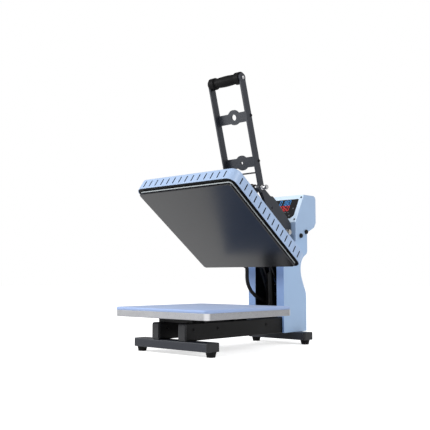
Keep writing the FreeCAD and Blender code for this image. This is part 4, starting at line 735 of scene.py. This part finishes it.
# The tray and the board between cover and plate: black-coated sheet round a pad of pressed fibre,
# its strands matted along its length. Both are dark, partly as painted shade in the recess round the plate.
tray_black_and_shade = coated("black_tray_and_painted_shade", shade(10, 10, 11), shade(30, 30, 33),
                   roughness=0.5, shine=0.1)
dress(tray_black_and_shade, "insulation_tray")
fibre, shader = new_finish("pressed_fibre")
tree = fibre.node_tree
coords = tree.nodes.new("ShaderNodeTexCoord").outputs["Object"]
strand_map = tree.nodes.new("ShaderNodeMapping")
strand_map.inputs["Scale"].default_value = (1.0, 5.0, 5.0)
tree.links.new(coords, strand_map.inputs["Vector"])
strands = add_noise(tree, strand_map.outputs["Vector"], 240.0, 6.0)
# Partly painted shade: the fibre's dark tone also stands for the shade in the recess.
tree.links.new(add_mix(tree, strands, shade(14, 14, 15), shade(34, 33, 32)), shader.inputs["Base Color"])
tree.links.new(add_math(tree, "ADD", add_math(tree, "MULTIPLY", strands, 0.1), 0.85),
               shader.inputs["Roughness"])
tree.links.new(add_bump(fibre, strands, None, 0.6, 0.001), shader.inputs["Normal"])
dress(fibre, "insulation_board")

# The heater lead: rubber-cored cable in a woven black sleeve, from the platen's gland into the column.
# It is made in two lengths that meet on the carriage, each cut across into short rings.
sleeve, shader = new_finish("woven_sleeve")
tree = sleeve.node_tree
coords = tree.nodes.new("ShaderNodeTexCoord").outputs["Object"]
weave = tree.nodes.new("ShaderNodeTexWave")
weave.bands_direction = "DIAGONAL"
weave.inputs["Scale"].default_value = 260.0
weave.inputs["Distortion"].default_value = 1.2
tree.links.new(coords, weave.inputs["Vector"])
tree.links.new(add_mix(tree, weave.outputs["Fac"], shade(7, 7, 8), shade(20, 20, 21)),
               shader.inputs["Base Color"])
tree.links.new(add_math(tree, "ADD", add_math(tree, "MULTIPLY", weave.outputs["Fac"], 0.15), 0.55),
               shader.inputs["Roughness"])
tree.links.new(add_bump(sleeve, weave.outputs["Fac"], None, 0.5, 0.0004), shader.inputs["Normal"])
shader.inputs["Specular IOR Level"].default_value = 0.25
lead_low, lead_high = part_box("heater_cable")
lead_part = 0.218              # the height at which the two lengths meet
lead_ring = 0.004              # between the rings cut along it
for name, upper in (("heater_lead_upper", True), ("heater_lead_lower", False)):
    shaper = bmesh.new()
    shaper.from_mesh(nodes["heater_cable"].data)
    bmesh.ops.remove_doubles(shaper, verts=shaper.verts[:], dist=0.00001)
    level = lead_low.z + lead_ring
    while level < lead_high.z:
        bmesh.ops.bisect_plane(shaper, geom=shaper.verts[:] + shaper.edges[:] + shaper.faces[:],
                               plane_co=(0.0, 0.0, level), plane_no=(0.0, 0.0, 1.0))
        level += lead_ring
    bmesh.ops.bisect_plane(shaper, geom=shaper.verts[:] + shaper.edges[:] + shaper.faces[:],
                           plane_co=(0.0, 0.0, lead_part), plane_no=(0.0, 0.0, 1.0),
                           clear_inner=upper, clear_outer=not upper)
    lead_mesh = bpy.data.meshes.new(name)
    shaper.to_mesh(lead_mesh)
    shaper.free()
    for face in lead_mesh.polygons:
        face.use_smooth = True
    lead_mesh.materials.append(sleeve)
    lead = bpy.data.objects.new(name, lead_mesh)
    scene.collection.objects.link(lead)
    if upper:
        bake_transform(lead)
    else:
        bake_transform(lead)
    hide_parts("heater_cable")

# The handle: two flat bars and two braces in the same charcoal coat, with a turned rubber grip
# over a long bolt. The grip is matt and finely pebbled, its shine uneven in patches.
dress(charcoal_coat, "handle_arm_left", "handle_arm_right", "brace_upper", "brace_lower")
grip_rubber, shader = new_finish("grip_rubber")
tree = grip_rubber.node_tree
coords = tree.nodes.new("ShaderNodeTexCoord").outputs["Object"]
grip_face = place_effect(grip_rubber, fine_coat, Colour=shade(10, 10, 11), Edge_Colour=shade(34, 34, 36),
                         Mottle=0.15, Patch_Scale=20.0, Grain_Scale=1100.0, Roughness=0.55, Uneven=0.25)
tree.links.new(grip_face.outputs["Colour"], shader.inputs["Base Color"])
tree.links.new(grip_face.outputs["Roughness"], shader.inputs["Roughness"])
pebble = tree.nodes.new("ShaderNodeTexVoronoi")
pebble.inputs["Scale"].default_value = 420.0
tree.links.new(coords, pebble.inputs["Vector"])
tree.links.new(add_bump(grip_rubber, pebble.outputs["Distance"], None, 0.35, 0.0005), shader.inputs["Normal"])
shader.inputs["Specular IOR Level"].default_value = 0.08
dress(grip_rubber, "handle_grip")

# The gas strut's tube: black enamel, smoother and glossier than the powder coat.
black_enamel = coated("black_enamel", shade(12, 12, 13), shade(36, 36, 39),
                      roughness=0.34, radius=0.0010, bump=0.05, grain=1600.0, shine=0.2)
dress(black_enamel, "strut_cylinder")
